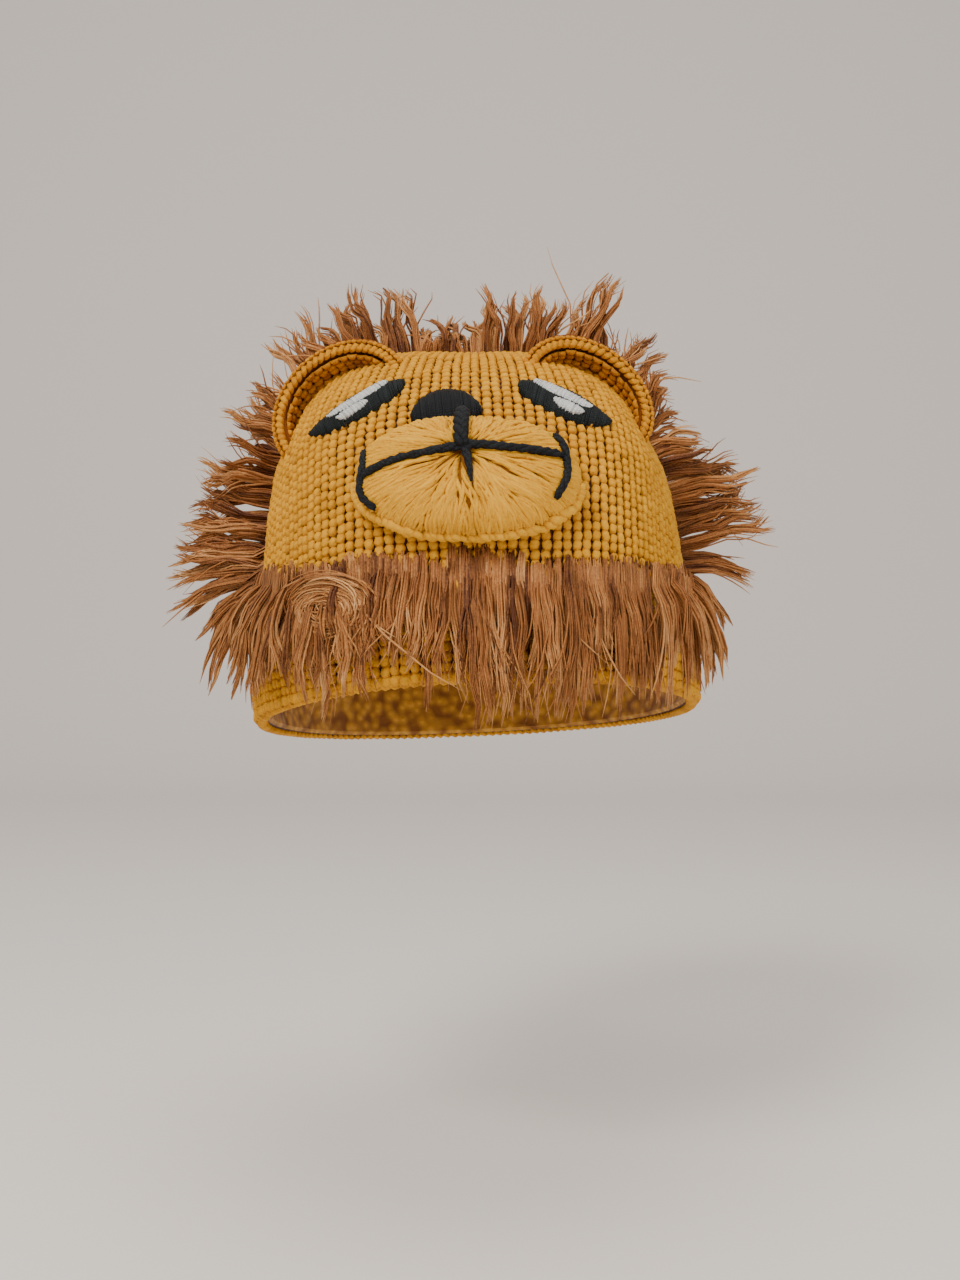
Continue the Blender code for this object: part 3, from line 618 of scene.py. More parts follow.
def muzzle_place(across, up):
    """The muzzle's surface at shares of its half sizes; past its edge, the knitting's."""
    level = (np.abs(across) ** MUZZLE_SQUARE + np.abs(up) ** MUZZLE_SQUARE) ** (1 / MUZZLE_SQUARE)
    crown = np.sqrt(np.clip(1 - level ** 2, 0, 1))
    crease = np.exp(-(((up - MUZZLE_CREASE_UP) / MUZZLE_CREASE_REACH) ** 2)) * crown
    spot, normal = front_frame(
        MUZZLE_ACROSS * HALF_WIDTH + across * MUZZLE_HALF_WIDTH,
        rise_to(MUZZLE_UP) + up * MUZZLE_HALF_HEIGHT,
    )
    out = MUZZLE_THICKNESS * crown ** 0.8 - MUZZLE_CREASE * crease
    return spot + normal * np.maximum(out, KNIT_HEIGHT)[..., None]


def muzzle_frame(across, up):
    """The muzzle's surface and its outward normal at shares of its half sizes."""
    sideways = muzzle_place(across + 0.02, up) - muzzle_place(across - 0.02, up)
    upwards = muzzle_place(across, up + 0.03) - muzzle_place(across, up - 0.03)
    return muzzle_place(across, up), unit(np.cross(sideways, upwards))


def muzzle_edge(turn):
    """The muzzle's outline, in shares of its half sizes."""
    across, up = np.cos(turn), np.sin(turn)
    stretch = (np.abs(across) ** MUZZLE_SQUARE + np.abs(up) ** MUZZLE_SQUARE) ** (-1 / MUZZLE_SQUARE)
    return across * stretch, up * stretch


def make_muzzle_pad():
    """The stuffed pad under the laid yarn: a closed dome."""
    rings, columns = 14, 56
    turn = np.arange(columns) / columns * 2 * math.pi
    edge_across, edge_up = muzzle_edge(turn)
    level = np.sin(np.linspace(0, 1, rings + 1)[1:] * math.pi / 2)[:, None]
    dome = muzzle_place(level * edge_across, level * edge_up)
    back = dome[-1] + np.array([0.0, 0.0005, 0.0])
    points = np.concatenate([
        muzzle_place(np.zeros(1), np.zeros(1)), dome.reshape(-1, 3), back, back.mean(axis=0)[None]
    ])
    last = len(points) - 1
    faces = [(0, 1 + (column + 1) % columns, 1 + column) for column in range(columns)]
    for ring in range(rings):
        low, high = 1 + ring * columns, 1 + (ring + 1) * columns
        for column in range(columns):
            beside = (column + 1) % columns
            faces.append((low + column, low + beside, high + beside, high + column))
    foot = last - columns
    faces += [(foot + column, foot + (column + 1) % columns, last) for column in range(columns)]
    mesh = bpy.data.meshes.new("muzzle_pad")
    mesh.from_pydata(points.tolist(), [], [tuple(reversed(face)) for face in faces])
    mesh.shade_smooth()
    pad = bpy.data.objects.new("muzzle_pad", mesh)
    bpy.context.scene.collection.objects.link(pad)
    return pad


def muzzle_yarn(rng):
    """Laid yarn over the muzzle, fanned out from the middle of the mouth in short lengths."""
    count, rings = MUZZLE_STRANDS, 6
    edge_across, edge_up = muzzle_edge(rng.uniform(0, 2 * math.pi, (count, 1)))
    start = 0.80 * np.sqrt(rng.uniform(0, 1, (count, 1)))
    share = np.linspace(0, 1, rings)[None, :]
    reach = start + (np.minimum(start + rng.uniform(0.25, 0.50, (count, 1)), 0.985) - start) * share
    sway = 0.02 * np.sin(share * 4 + rng.uniform(0, 2 * math.pi, (count, 1)))
    across = FAN_CENTRE[0] + (edge_across - FAN_CENTRE[0]) * reach - sway * edge_up
    up = FAN_CENTRE[1] + (edge_up - FAN_CENTRE[1]) * reach + sway * edge_across
    point, normal = muzzle_frame(across, up)
    lift = rng.uniform(0.0002, 0.0010, (count, 1)) * np.sin(0.35 + share * 2.4)
    ends = np.array([0.3, 1.0, 1.1, 1.1, 1.0, 0.45])[None, :]
    radius = MUZZLE_STRAND_RADIUS * rng.uniform(0.75, 1.35, (count, 1)) * ends
    tint = 0.60 + rng.normal(0, 0.09, (count, 1))
    # Each strand is darker at its ends and lighter over its middle: painted shade where it tucks in, painted
    # light where it stands up.
    tint = tint + np.array([-0.22, 0, 0.08, 0.10, 0.04, -0.2])[None, :]
    paths = point + normal * lift[..., None]
    return tube_mesh("muzzle_yarn", paths, normal, radius, radius * 0.9, 4, tint, 0.006)


def muzzle_rope(rng):
    """The twisted edge along the foot of the muzzle."""
    count = MUZZLE_ROPE_STITCHES
    share = np.array([0.0, 0.3, 0.7, 1.0])[None, :]
    middle = np.linspace(MUZZLE_ROPE_FROM, MUZZLE_ROPE_TO, count)[:, None]
    turn = np.radians(middle + 7.0 * (share - 0.5) + rng.normal(0, 0.8, (count, 1)))
    edge_across, edge_up = muzzle_edge(turn)
    level = 0.955 + 0.07 * (share - 0.5) + rng.normal(0, 0.008, (count, 1))
    point, normal = muzzle_frame(edge_across * level, edge_up * level)
    paths = point + normal * (0.0004 + 0.0009 * np.sin(share * math.pi))[..., None]
    ends = np.array([0.35, 1.0, 1.0, 0.35])[None, :] * rng.uniform(0.8, 1.15, (count, 1))
    # Darker at both ends of each stitch and a little lighter in the middle: painted shade where the stitch
    # tucks under, painted light on its crest.
    tint = 0.62 + rng.normal(0, 0.08, (count, 1)) + np.array([-0.25, 0.05, 0.08, -0.25])[None, :]
    wide = MUZZLE_ROPE_HALF_WIDTH * ends
    high = MUZZLE_ROPE_HALF_THICKNESS * ends
    return tube_mesh("muzzle_rope", paths, normal, wide, high, 6, tint, 0.005)


def mouth_cord(rng):
    """The mouth: cords of three twisted plies along each run."""
    rings, plies = MOUTH_RINGS, MOUTH_PLIES
    paths, normals, girths = [], [], []
    for run in dict.fromkeys(row[0] for row in MOUTH_POINTS):
        rows = np.array([row[1:] for row in MOUTH_POINTS if row[0] == run])
        rows = np.concatenate([2 * rows[:1] - rows[1:2], rows, 2 * rows[-1:] - rows[-2:-1]])
        place = np.linspace(0, len(rows) - 3, rings)
        first = np.minimum(place.astype(int), len(rows) - 4)
        four = [rows[first + step] for step in range(4)]
        across, up, girth = cubic(*four, (place - first)[:, None]).T
        point, normal = muzzle_frame(across, up)
        radius = MOUTH_FUZZ * MOUTH_CORD_RADIUS * girth
        centre = point + normal * (radius * 0.7 + 0.0008)[:, None]
        sideways = unit(np.cross(unit(np.gradient(centre, axis=0)), normal))
        reach = np.cumsum(np.linalg.norm(np.gradient(centre, axis=0), axis=1)) / MOUTH_TWIST
        for ply in range(plies):
            turn = 2 * math.pi * (reach + ply / plies)
            swing = sideways * np.cos(turn)[:, None] + normal * 0.6 * np.sin(turn)[:, None]
            paths.append(centre + swing * radius[:, None] * 0.50)
            normals.append(normal)
            girths.append(radius * 0.62)
    paths, normals, girths = np.array(paths), np.array(normals), np.array(girths)
    girths[:, [0, -1]] *= 0.5
    tint = 0.5 + rng.normal(0, 0.1, (len(paths), 1)) + np.zeros((1, rings))
    return tube_mesh("mouth_cord", paths, normals, girths, girths, 7, tint, 0.003)


def satin(name, low, high, rng, lift, bulge):
    """Satin stitch: threads side by side from low to high, each (threads, 2) of x and z."""
    count, rings = len(low), 7
    share = np.linspace(0, 1, rings)[None, :]
    wander = rng.normal(0, 0.00012, (2, count, 2))
    ends = [(edge + shift)[:, None, :] for edge, shift in zip((low, high), wander)]
    flat = ends[0] + (ends[1] - ends[0]) * share[..., None]
    point, normal = front_frame(flat[..., 0], flat[..., 1])
    arch = np.sin(share * math.pi) ** 0.45
    height = lift - 0.0014 * (1 - arch) + bulge * np.sin(share * math.pi) ** 1.5
    paths = point + normal * (height + rng.normal(0, 0.00005, (count, 1)))[..., None]
    radius = SATIN_RADIUS * np.ones((count, rings))
    tint = 0.5 + rng.normal(0, 0.14, (count, 1)) + np.zeros((1, rings))
    return tube_mesh(name, paths, normal, radius, radius * 0.8, 4, tint, 0.002)


def eye_place(eye, along, across):
    """A place on an eye, from its inner end at -1 to its outer tip at 1, as x and z."""
    _, side, centre_across, centre_up, length, height, slant = eye
    turn = math.radians(slant)
    run = along * length * EYE_HALF_LENGTH
    rise = across * height * EYE_HALF_HEIGHT
    out = run * math.cos(turn) + rise * math.sin(turn)
    up = rise * math.cos(turn) - run * math.sin(turn)
    x, z = side * (centre_across * HALF_WIDTH + out), rise_to(centre_up) + up
    return np.stack([x, z], axis=-1)


def make_eye(eye, rng):
    """An eye's black almond and its white bands."""
    threads = round(2 * EYE_HALF_LENGTH / SATIN_PITCH)
    along = np.linspace(-0.985, 0.985, threads)
    half = (1 - np.abs(along) ** 2.3) ** 0.5
    half = np.where(along > 0, half * (1 - along ** 2 * 0.35), half)
    low = eye_place(eye, along + 0.05 * half, -half)
    high = eye_place(eye, along - 0.05 * half, half)
    pieces = [satin(f"{eye[0]}_satin", low, high, rng, SATIN_LIFT, 0.0003)]
    slimness = eye[4] * EYE_HALF_LENGTH / (eye[5] * EYE_HALF_HEIGHT)
    for name, middle, across, half_length, half_height, extra in EYE_WHITES:
        threads = round(2 * half_length * EYE_HALF_LENGTH / SATIN_PITCH)
        share = np.linspace(-0.97, 0.97, threads)
        lean = math.tan(math.radians(extra)) * slimness * half_length
        half = (1 - np.abs(share) ** 2.6) ** 0.5 * half_height
        centre = across + share * lean
        run = middle + share * half_length
        low = eye_place(eye, run - 0.03, centre - 1.35 * half)
        high = eye_place(eye, run + 0.03, centre + 1.35 * half)
        pieces.append(satin(f"{eye[0]}_{name}_satin", low, high, rng, SATIN_LIFT + 0.0010, 0.0))
    return pieces


def make_nose(rng):
    """The nose's dome of black satin stitch, slanted a little."""
    threads = round(2 * NOSE_HALF_WIDTH / SATIN_PITCH)
    across = np.linspace(-0.985, 0.985, threads)
    half = (1 - np.abs(across) ** 2.2) ** 0.5
    turn = math.radians(NOSE_SLANT)
    run = across * NOSE_HALF_WIDTH
    ends = []
    for reach in (-NOSE_FOOT * half ** 0.5, NOSE_RISE * half):
        x = NOSE_ACROSS * HALF_WIDTH + run * math.cos(turn) - reach * math.sin(turn)
        z = rise_to(NOSE_UP) + run * math.sin(turn) + reach * math.cos(turn)
        ends.append(np.stack([x, z], axis=-1))
    return satin("nose_satin", *ends, rng, SATIN_LIFT, 0.0010)


def ear_frame(ear, polar, turn, wall):
    """An ear's cup: points and outward normals. Wall is 0 on the inside and 1 outside."""
    _, side, across, along, up, length, height, cup, slope, outward, upward = ear
    sizes = np.array([length * EAR_HALF_LENGTH, cup * EAR_DEPTH, height * EAR_HALF_HEIGHT])
    polar, turn = np.broadcast_arrays(polar, turn)
    ball = np.stack(
        [np.sin(polar) * np.cos(turn), np.cos(polar), np.sin(polar) * np.sin(turn)], axis=-1
    )
    normal = unit(ball / sizes)
    matrix = np.array(
        Matrix.Translation((side * across * HALF_WIDTH, along * FRONT_DEPTH, rise_to(up)))
        @ Matrix.Rotation(math.radians(side * outward), 4, "Z")
        @ Matrix.Rotation(math.radians(-upward), 4, "X")
        @ Matrix.Rotation(math.radians(side * slope), 4, "Y")
    )
    local = ball * sizes + normal * EAR_WALL * wall
    return local @ matrix[:3, :3].T + matrix[:3, 3], normal @ matrix[:3, :3].T


def ear_stitches(ear, rng):
    """Purl bumps inside an ear, knit legs outside it, and a rolled rim of slanted stitches."""
    share = np.array([0.0, 0.33, 0.67, 1.0])[None, :]
    girth = (ear[5] * EAR_HALF_LENGTH + ear[6] * EAR_HALF_HEIGHT) / 2
    row_step = math.pi / 2 / EAR_ROWS
    paths, normals, tints = [], [], []
    for row in range(EAR_ROWS):
        polar = (row + 0.6) * row_step
        count = max(round(2 * math.pi * girth * math.sin(polar) / EAR_STITCH), 4)
        step = 2 * math.pi / count
        turn = (np.arange(count)[:, None] + 0.5 * (row % 2)) * step
        lift = 0.0004 + 0.0010 * np.sin(share * math.pi)
        height = polar + rng.normal(0, 0.02, (count, 1))
        point, normal = ear_frame(ear, height, turn + (share - 0.5) * step * 1.1, 0)
        paths.append(point - normal * lift[..., None])
        normals.append(-normal)
        # The purl bumps inside the ear are darker than the knit legs outside: painted shade in the cup.
        tints.append(np.full((count, 4), 0.34) + rng.normal(0, 0.06, (count, 1)))
        for side in (-1, 1):
            across = turn + side * (0.06 + 0.25 * share) * step
            point, normal = ear_frame(ear, polar + (share - 0.3) * row_step * 1.2, across, 1)
            paths.append(point + normal * (lift * 0.5)[..., None])
            normals.append(normal)
            tints.append(np.full((count, 4), 0.50) + rng.normal(0, 0.06, (count, 1)))
    count = round(2 * math.pi * girth / EAR_RIM_PITCH)
    turn = (np.arange(count)[:, None] + 1.3 * (share - 0.5)) / count * 2 * math.pi
    point, normal = ear_frame(ear, np.full_like(turn, math.pi / 2), turn, 0.5)
    behind, _ = ear_frame(ear, np.full_like(turn, math.pi / 2 - 0.05), turn, 0.5)
    turns = np.broadcast_to(math.pi / 2 + (share - 0.5) * 3.0, turn.shape)
    rim, facing = rolled_edge(point, normal, unit(point - behind), EAR_WALL * 0.34, turns)
    paths.append(rim)
    normals.append(facing)
    # The rolled rim is lighter than the ear's outside: painted light on the rim.
    tints.append(np.full((count, 4), 0.60) + rng.normal(0, 0.05, (count, 1)))
    paths, normals, tints = (np.concatenate(part) for part in (paths, normals, tints))
    spots, outwards = nearest(CAP_TREE, paths[:, 1])
    outside = ((paths[:, 1] - spots) * outwards).sum(axis=1) > 0.0008
    paths, normals, tints = paths[outside], normals[outside], tints[outside]
    ends = np.array([0.4, 1.0, 1.0, 0.4])[None, :] * np.ones((len(paths), 1))
    wide = EAR_STITCH_HALF_WIDTH * ends
    high = EAR_STITCH_HALF_THICKNESS * ends
    return tube_mesh(f"{ear[0]}_stitches", paths, normals, wide, high, 5, tints, YARN_TWIST)


def mane_samples():
    """Places round the mane's loop, on the cap."""
    half = [row[1:] for row in MANE_LOOP]
    loop = np.array(half + [(-row[0], row[1], row[2]) for row in reversed(half[1:-1])])
    fine = 24
    spot = np.arange(len(loop) * fine)
    first, share = spot // fine, (spot % fine / fine)[:, None]
    four = [loop[(first + step) % len(loop)] for step in (-1, 0, 1, 2)]
    shares = cubic(*four, share)
    places = np.stack(
        [shares[:, 0] * HALF_WIDTH, shares[:, 1] * FRONT_DEPTH, rise_to(shares[:, 2])], axis=1
    )
    return nearest(CAP_TREE, places)


def mane_locks(rng):
    """Each lock's root, tip, and the strip's directions there."""
    samples, normals = mane_samples()
    count = len(samples)
    along = unit(np.roll(samples, -3, axis=0) - np.roll(samples, 2, axis=0))
    tips = np.array(
        [(across * HALF_WIDTH, y * FRONT_DEPTH, rise_to(up)) for _, across, y, up in LOCK_TIPS]
    )
    roots = [int(np.linalg.norm(samples - tip, axis=1).argmin()) for tip in tips]
    steps = np.linalg.norm(np.roll(samples, -1, axis=0) - samples, axis=1)
    locks = []
    for index, root in enumerate(roots):
        following = (index + 1) % len(tips)
        gap = (roots[following] - root) % count
        if gap > count / 2:
            gap -= count
        length = steps[(root + np.arange(max(gap, 0))) % count].sum()
        fillers = max(round(length / LOCK_PITCH) - 1, 0)
        locks.append((root, tips[index]))
        for filler in range(fillers):
            share = (filler + rng.uniform(0.7, 1.3)) / (fillers + 1)
            place = int(round(root + gap * share)) % count
            end = tips[index] * (1 - share) + tips[following] * share
            start = samples[place]
            end = start + (end - start) * rng.uniform(SHORTEST_FILLER, 1.0)
            away = np.cross(along[place], normals[place])
            locks.append((place, end + away * rng.uniform(-1, 1) * LOCK_SCATTER))
    places = np.array([place for place, _ in locks])
    ends = np.array([end for _, end in locks])
    return samples[places], normals[places], along[places], ends


def push_out(paths, clearance):
    """Moves points that lie in the knitting out to a clearance over the cap."""
    flat = paths.reshape(-1, 3)
    spots, normals = nearest(CAP_TREE, flat)
    height = ((flat - spots) * normals).sum(axis=1)
    upright = np.abs(normals[:, 2]) < 0.75
    low = (height < clearance) & ((upright) | (spots[:, 2] > rise_to(0.5)))
    flat[low] = spots[low] + normals[low] * clearance
    return flat.reshape(paths.shape)


def lock_strands(name, picked, locks, rng, curl):
    """Fine strands in a few clumps for each lock. Each clump has its own reach, bend and wave,
    and curl is how far the tips bend away."""
    roots, normals, along, ends = (part[picked] for part in locks)
    count, strands = len(roots), STRANDS_PER_LOCK
    own = rng.integers(0, CLUMPS, (count, strands))

    def clump_value(values):
        """Each strand's share of what its clump was given."""
        return np.take_along_axis(values, own, axis=1)[..., None, None]

    share = np.linspace(0, 1, STRAND_RINGS)[None, None, :, None]
    reach = clump_value(rng.uniform(0.74, 1.05, (count, CLUMPS)))
    reach = reach * rng.uniform(0.86, 1.03, (count, strands, 1, 1))
    t = share * reach
    middle = (roots + ends) / 2 + normals * LOCK_BULGE
    down = unit(ends - roots)
    roots = roots - down * rng.normal(0, 0.0016, (count, 1))
    start = roots + normals * 0.0018
    p0, p1, p2 = (item[:, None, None, :] for item in (start, middle, ends))
    path = (1 - t) ** 2 * p0 + 2 * t * (1 - t) * p1 + t ** 2 * p2
    heading = unit((p1 - p0) * (1 - t) + (p2 - p1) * t)
    outwards = unit(np.cross(along[:, None, None, :], heading))
    sideways = np.cross(heading, outwards)
    length = np.linalg.norm(ends - roots, axis=1)[:, None]
    slots = rng.permuted(np.tile(np.arange(CLUMPS), (count, 1)), axis=1) / (CLUMPS - 1) - 0.5
    slot = clump_value(slots) * LOCK_WIDTH * (0.95 - 0.30 * share)
    level = clump_value(rng.normal(0, 0.0014, (count, CLUMPS)))
    bend_aside = clump_value(rng.normal(0, curl, (count, CLUMPS))) * share ** 2.2
    bend_out = clump_value(rng.normal(0.3 * curl, 0.6 * curl, (count, CLUMPS))) * share ** 2.2
    phase = clump_value(rng.uniform(0, 2 * math.pi, (count, CLUMPS)))
    waves = clump_value(length / rng.uniform(0.018, 0.034, (count, CLUMPS)))
    wave = np.sin(phase + waves * share * 2 * math.pi) * (0.0006 + 0.25 * curl) * share
    a = np.sqrt(rng.uniform(0, 1, (count, strands, 1, 1)))
    turn = rng.uniform(0, 2 * math.pi, (count, strands, 1, 1))
    girth = np.clip(0.75 + 0.75 * share - 1.42 * share ** 2, 0.08, None)
    fray = rng.normal(0, 1, (count, strands, 1, 1)) ** 3 * 0.0007 * share ** 2
    aside = slot + bend_aside + wave + fray + LOCK_WIDTH / CLUMPS * 0.75 * a * np.cos(turn) * girth
    out = level + bend_out + wave * 0.6 + LOCK_THICKNESS / 3 * a * np.sin(turn) * girth
    back = rng.uniform(0, 0.0045, (count, strands, 1, 1)) * (1 - share) ** 3
    tuft = 0.0030 * np.exp(-(((share - 0.15) / 0.14) ** 2))
    paths = path + sideways * aside + outwards * (out + tuft) - heading * back
    paths = push_out(paths.reshape(count * strands, STRAND_RINGS, 3), KNIT_HEIGHT + 0.0004)
    facing = np.broadcast_to(outwards, path.shape).reshape(count * strands, STRAND_RINGS, 3)
    radius = STRAND_RADIUS * rng.uniform(0.7, 1.4, (count * strands, 1))
    radius = radius * np.array([0.8, 1.1, 1.1, 1.1, 1.05, 0.95, 0.7, 0.2])[None, :]
    clump_tint = clump_value(rng.normal(0, 0.13, (count, CLUMPS))).reshape(-1, 1)
    tint = 0.52 + clump_tint + rng.normal(0, 0.06, (count * strands, 1))
    # Strands on the lock's outer face are lighter and those on its underside darker: painted light and
    # painted shade.
    tint = tint + 0.20 * (np.sin(turn) * a).reshape(-1, 1)
    # Darker at the roots by the cap and lighter towards the tips: painted shade at the roots, painted light
    # towards the tips.
    tint = tint + np.linspace(-0.12, 0.10, STRAND_RINGS)[None, :]
    return tube_mesh(name, paths, facing, radius, radius, 3, tint, 0.02)


def make_swirl(rng):
    """A curl of loose fibre that lies over the fringe."""
    count, rings = SWIRL_STRANDS, 10
    share = np.linspace(0, 1, rings)[None, :]
    start = rng.uniform(0, 2 * math.pi, (count, 1))
    sweep = rng.uniform(1.6, 3.6, (count, 1))
    turn = start + sweep * share
    inner = rng.uniform(0.30, 1.05, (count, 1))
    radius = SWIRL_RADIUS * (inner + rng.normal(0, 0.14, (count, 1)) * share)
    x = SWIRL_ACROSS * HALF_WIDTH + SWIRL_STRETCH * radius * np.cos(turn) + rng.normal(0, 0.0012, (count, 1))
    z = rise_to(SWIRL_UP) + 0.85 * radius * np.sin(turn) + rng.normal(0, 0.0012, (count, 1))
    point, normal = front_frame(x, z)
    height = SWIRL_LIFT - 0.0025 * (inner - 0.3) + rng.normal(0, 0.0008, (count, 1)) + 0 * share
    paths = point + normal * height[..., None]
    width = STRAND_RADIUS * rng.uniform(0.7, 1.2, (count, 1)) * np.ones((1, rings))
    width[:, [0, -1]] *= 0.25
    tint = 0.62 + rng.normal(0, 0.12, (count, 1)) + 0 * share
    return tube_mesh("mane_swirl", paths, normal, width, width, 3, tint, 0.02)


def make_camera():
    """The photograph's camera, which looks level at the hat."""
    data = bpy.data.cameras.new("camera")
    data.lens = LENS_MM
    data.sensor_width = SENSOR_MM
    camera = bpy.data.objects.new("camera", data)
    camera.location = (CAMERA_X, -CAMERA_DISTANCE, RIM_Z + CAMERA_OVER_RIM)
    camera.rotation_euler = (math.pi / 2, 0, 0)
    bpy.context.scene.collection.objects.link(camera)
    bpy.context.scene.camera = camera


def plain_material(name, colour, roughness):
    """One plain colour, for the backdrop."""
    material = bpy.data.materials.new(name)
    material.use_nodes = True
    shader = material.node_tree.nodes["Principled BSDF"]
    shader.inputs["Base Color"].default_value = (*colour, 1.0)
    shader.inputs["Roughness"].default_value = roughness
    return material


def make_stage():
    """A pale floor that curves up into a pale wall."""
    floor = RIM_Z - FLOOR_UNDER_RIM
    profile = [(-WALL_DISTANCE, 0.0), (WALL_DISTANCE, 0.0)]
    radius = WALL_CURVE
    for step in range(1, 9):
        turn = step / 8 * math.pi / 2
        profile.append((WALL_DISTANCE + radius * math.sin(turn), radius * (1 - math.cos(turn))))
    profile.append((WALL_DISTANCE + radius, WALL_HEIGHT))
    sides = (-WALL_HALF_WIDTH, WALL_HALF_WIDTH)
    points = [(x, y, floor + z) for x in sides for y, z in profile]
    row = len(profile)
    faces = [(i, i + row, i + row + 1, i + 1) for i in range(row - 1)]
    mesh = bpy.data.meshes.new("backdrop")
    mesh.from_pydata(points, [], faces)
    mesh.shade_smooth()
    backdrop = bpy.data.objects.new("backdrop", mesh)
    bpy.context.scene.collection.objects.link(backdrop)
    mesh.materials.append(plain_material("pale_wall", (0.86, 0.80, 0.75), 0.8))


def make_light(name, place, target, size, power, colour):
    """A soft round light that faces a target."""
    data = bpy.data.lights.new(name, "AREA")
    data.shape = "DISK"
    data.size = size
    data.energy = power
    data.color = colour
    light = bpy.data.objects.new(name, data)
    light.location = place
    light.rotation_euler = (Vector(target) - Vector(place)).to_track_quat("-Z", "Y").to_euler()
    bpy.context.scene.collection.objects.link(light)


def make_lights():
    """Soft light from the upper front, with a fill, a top light and a pale world."""
    target = (0.0, 0.0, RIM_Z)
    make_light("key", (-0.55, -0.95, 0.85), target, 0.55, 15.0, (1.0, 0.96, 0.90))
    make_light("fill", (0.9, -0.9, 0.2), target, 0.9, 5.0, (1.0, 0.97, 0.93))
    make_light("top", (0.0, -0.1, 1.1), target, 0.8, 5.0, (1.0, 0.98, 0.95))
    world = bpy.data.worlds.new("world")
    world.use_nodes = True
    world.node_tree.nodes["Background"].inputs["Color"].default_value = (0.95, 0.93, 0.90, 1.0)
    world.node_tree.nodes["Background"].inputs["Strength"].default_value = 0.58
    bpy.context.scene.world = world


def purl_material(name, outer, dark, light):
    """The cap's own solid: a dark colour outside, painted shade seen between the stitches,
    and purl bumps inside, darker between the bumps as painted shade.
    """
    material = bpy.data.materials.new(name)
    material.use_nodes = True
    tree = material.node_tree
    shader = tree.nodes["Principled BSDF"]
    shader.inputs["Roughness"].default_value = 0.92
    shader.inputs["Sheen Weight"].default_value = 0.15
    coordinates = node(tree, "ShaderNodeTexCoord")
    middle = node(tree, "ShaderNodeVectorMath", operation="SUBTRACT")
    tree.links.new(coordinates.outputs["Object"], middle.inputs[0])
    middle.inputs[1].default_value = tuple(AXIS)
    facing = node(tree, "ShaderNodeVectorMath", operation="DOT_PRODUCT")
    tree.links.new(coordinates.outputs["Normal"], facing.inputs[0])
    tree.links.new(middle.outputs["Vector"], facing.inputs[1])
    outside = maths(tree, "GREATER_THAN", facing.outputs["Value"], 0.0)
    cells = node(tree, "ShaderNodeTexVoronoi", feature="SMOOTH_F1")
    cells.inputs["Scale"].default_value = 260
    tree.links.new(coordinates.outputs["Object"], cells.inputs["Vector"])
    bumps = maths(tree, "SUBTRACT", 1.0, cells.outputs["Distance"])
    # Darker at the edges of the purl bumps and lighter at their middles: painted shade between the bumps.
    ramp = node(tree, "ShaderNodeValToRGB")
    ramp.color_ramp.elements[0].position = 0.35
    ramp.color_ramp.elements[0].color = (*dark, 1.0)
    ramp.color_ramp.elements[1].position = 0.80
    ramp.color_ramp.elements[1].color = (*light, 1.0)
    tree.links.new(bumps, ramp.inputs["Fac"])
    mix = node(tree, "ShaderNodeMix", data_type="RGBA")
    tree.links.new(outside, mix.inputs["Factor"])
    tree.links.new(ramp.outputs["Color"], mix.inputs["A"])
    # The outside faces get the dark colour: painted shade where the knitting's gaps show the solid.
    mix.inputs["B"].default_value = (*outer, 1.0)
    tree.links.new(mix.outputs["Result"], shader.inputs["Base Color"])
    bump = node(tree, "ShaderNodeBump")
    bump.inputs["Strength"].default_value = 0.9
    bump.inputs["Distance"].default_value = 0.0015
    fuzz = maths(tree, "MULTIPLY", noise(tree, coordinates.outputs["Object"], 1800, 4.0), 0.2)
    tree.links.new(maths(tree, "ADD", bumps, fuzz), bump.inputs["Height"])
    tree.links.new(bump.outputs["Normal"], shader.inputs["Normal"])
    return material


def show_node(name, material):
    """A CAD solid that stays shown, with its material."""
    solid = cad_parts[name]
    solid.data.materials.clear()
    solid.data.materials.append(material)


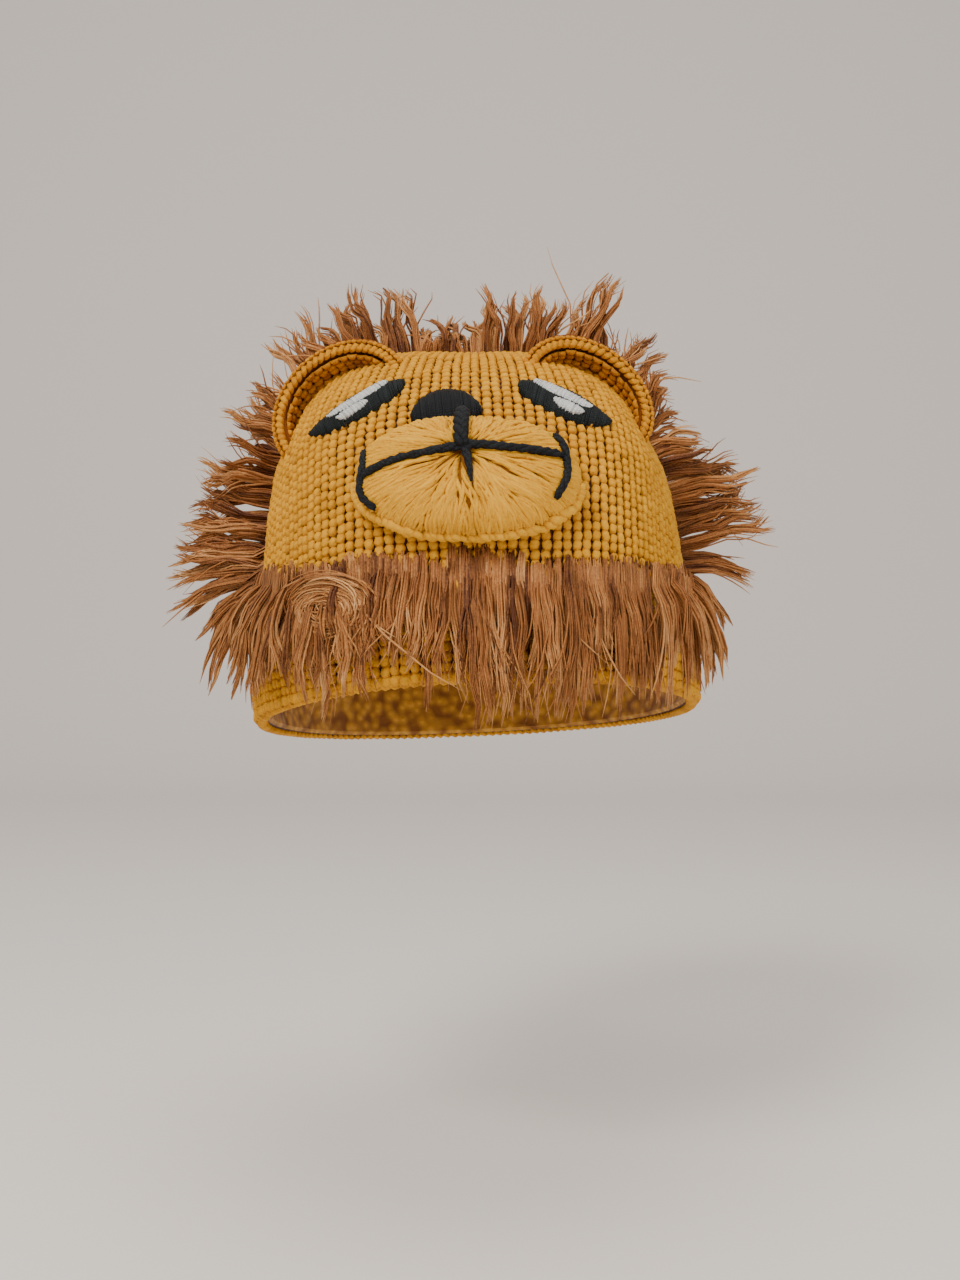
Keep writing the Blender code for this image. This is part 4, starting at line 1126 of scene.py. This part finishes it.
def main():
    """Makes the stage, every piece and its material."""
    rng = np.random.default_rng(STITCH_SEED)
    make_camera()
    make_stage()
    make_lights()
    wool = yarn_material(
        "mustard_wool", (0.16, 0.045, 0.002), (0.62, 0.270, 0.007), (0.84, 0.420, 0.020), 0.85, 0.08
    )
    # The ears' wool is the mustard wool made a little darker and more orange: painted shade for the ears'
    # cups.
    shaded_ear_wool = yarn_material(
        "shaded_ear_wool", (0.18, 0.045, 0.002), (0.58, 0.230, 0.007), (0.82, 0.400, 0.020), 0.85, 0.08
    )
    muzzle_wool = yarn_material(
        "muzzle_wool", (0.25, 0.080, 0.003), (0.70, 0.330, 0.012), (0.90, 0.480, 0.032), 0.75, 0.08,
        ply=0.15,
    )
    black = yarn_material(
        "black_thread", (0.002, 0.002, 0.003), (0.004, 0.005, 0.007), (0.012, 0.013, 0.016), 0.65, 0.0
    )
    eye_black = yarn_material(
        "eye_black_thread", (0.002, 0.004, 0.004), (0.005, 0.008, 0.008), (0.013, 0.019, 0.018), 0.60,
        0.0,
    )
    white = yarn_material(
        "white_thread", (0.42, 0.42, 0.40), (0.66, 0.66, 0.64), (0.80, 0.80, 0.77), 0.6, 0.05
    )
    mane = yarn_material(
        "mane_fibre", (0.085, 0.020, 0.005), (0.42, 0.155, 0.038), (0.75, 0.40, 0.155), 0.50, 0.12,
        ply=0.05,
    )
    # The cap's solid: painted shade outside between the stitches, purl bumps inside.
    purl = purl_material(
        "cap_purl_and_gap_shade", (0.10, 0.028, 0.003), (0.22, 0.075, 0.006), (0.60, 0.290, 0.030)
    )
    show_node("cap", purl)
    for ear in EARS:
        # The CAD ear solid has no tint, so it takes the ears' wool's darkest colour: painted shade seen
        # between the ear's stitches.
        show_node(ear[0], shaded_ear_wool)
        dress(ear_stitches(ear, rng), shaded_ear_wool)
    quarter = WALES // 4
    dress(knit_legs("knit_front", range(-quarter, quarter), rng), wool)
    dress(knit_legs("knit_back", range(quarter, 3 * quarter), rng), wool)
    dress(make_hem(rng), wool)
    # The pad has no tint, so it takes the muzzle wool's darkest colour: painted shade seen between the laid
    # strands.
    pad = dress(make_muzzle_pad(), muzzle_wool)
    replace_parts(pad, "muzzle")
    dress(muzzle_yarn(rng), muzzle_wool)
    dress(muzzle_rope(rng), muzzle_wool)
    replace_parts(dress(mouth_cord(rng), black), "mouth")
    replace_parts(dress(make_nose(rng), black), "nose")
    for eye in EYES:
        satins = make_eye(eye, rng)
        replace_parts(dress(satins[0], eye_black), eye[0])
        for band, row in zip(satins[1:], EYE_WHITES):
            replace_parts(dress(band, white), f"{eye[0]}_{row[0]}")
    locks = mane_locks(rng)
    fringe = locks[0][:, 2] < rise_to(0.42)
    left = locks[0][:, 0] > 0
    parts = [
        ("mane_left", ~fringe & left, MANE_CURL),
        ("mane_right", ~fringe & ~left, MANE_CURL),
        ("mane_fringe", fringe, FRINGE_CURL),
    ]
    strands = [
        dress(lock_strands(name, picked, locks, rng, curl), mane)
        for name, picked, curl in parts
    ]
    dress(make_swirl(rng), mane)
    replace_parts(strands[0], "mane")


main()
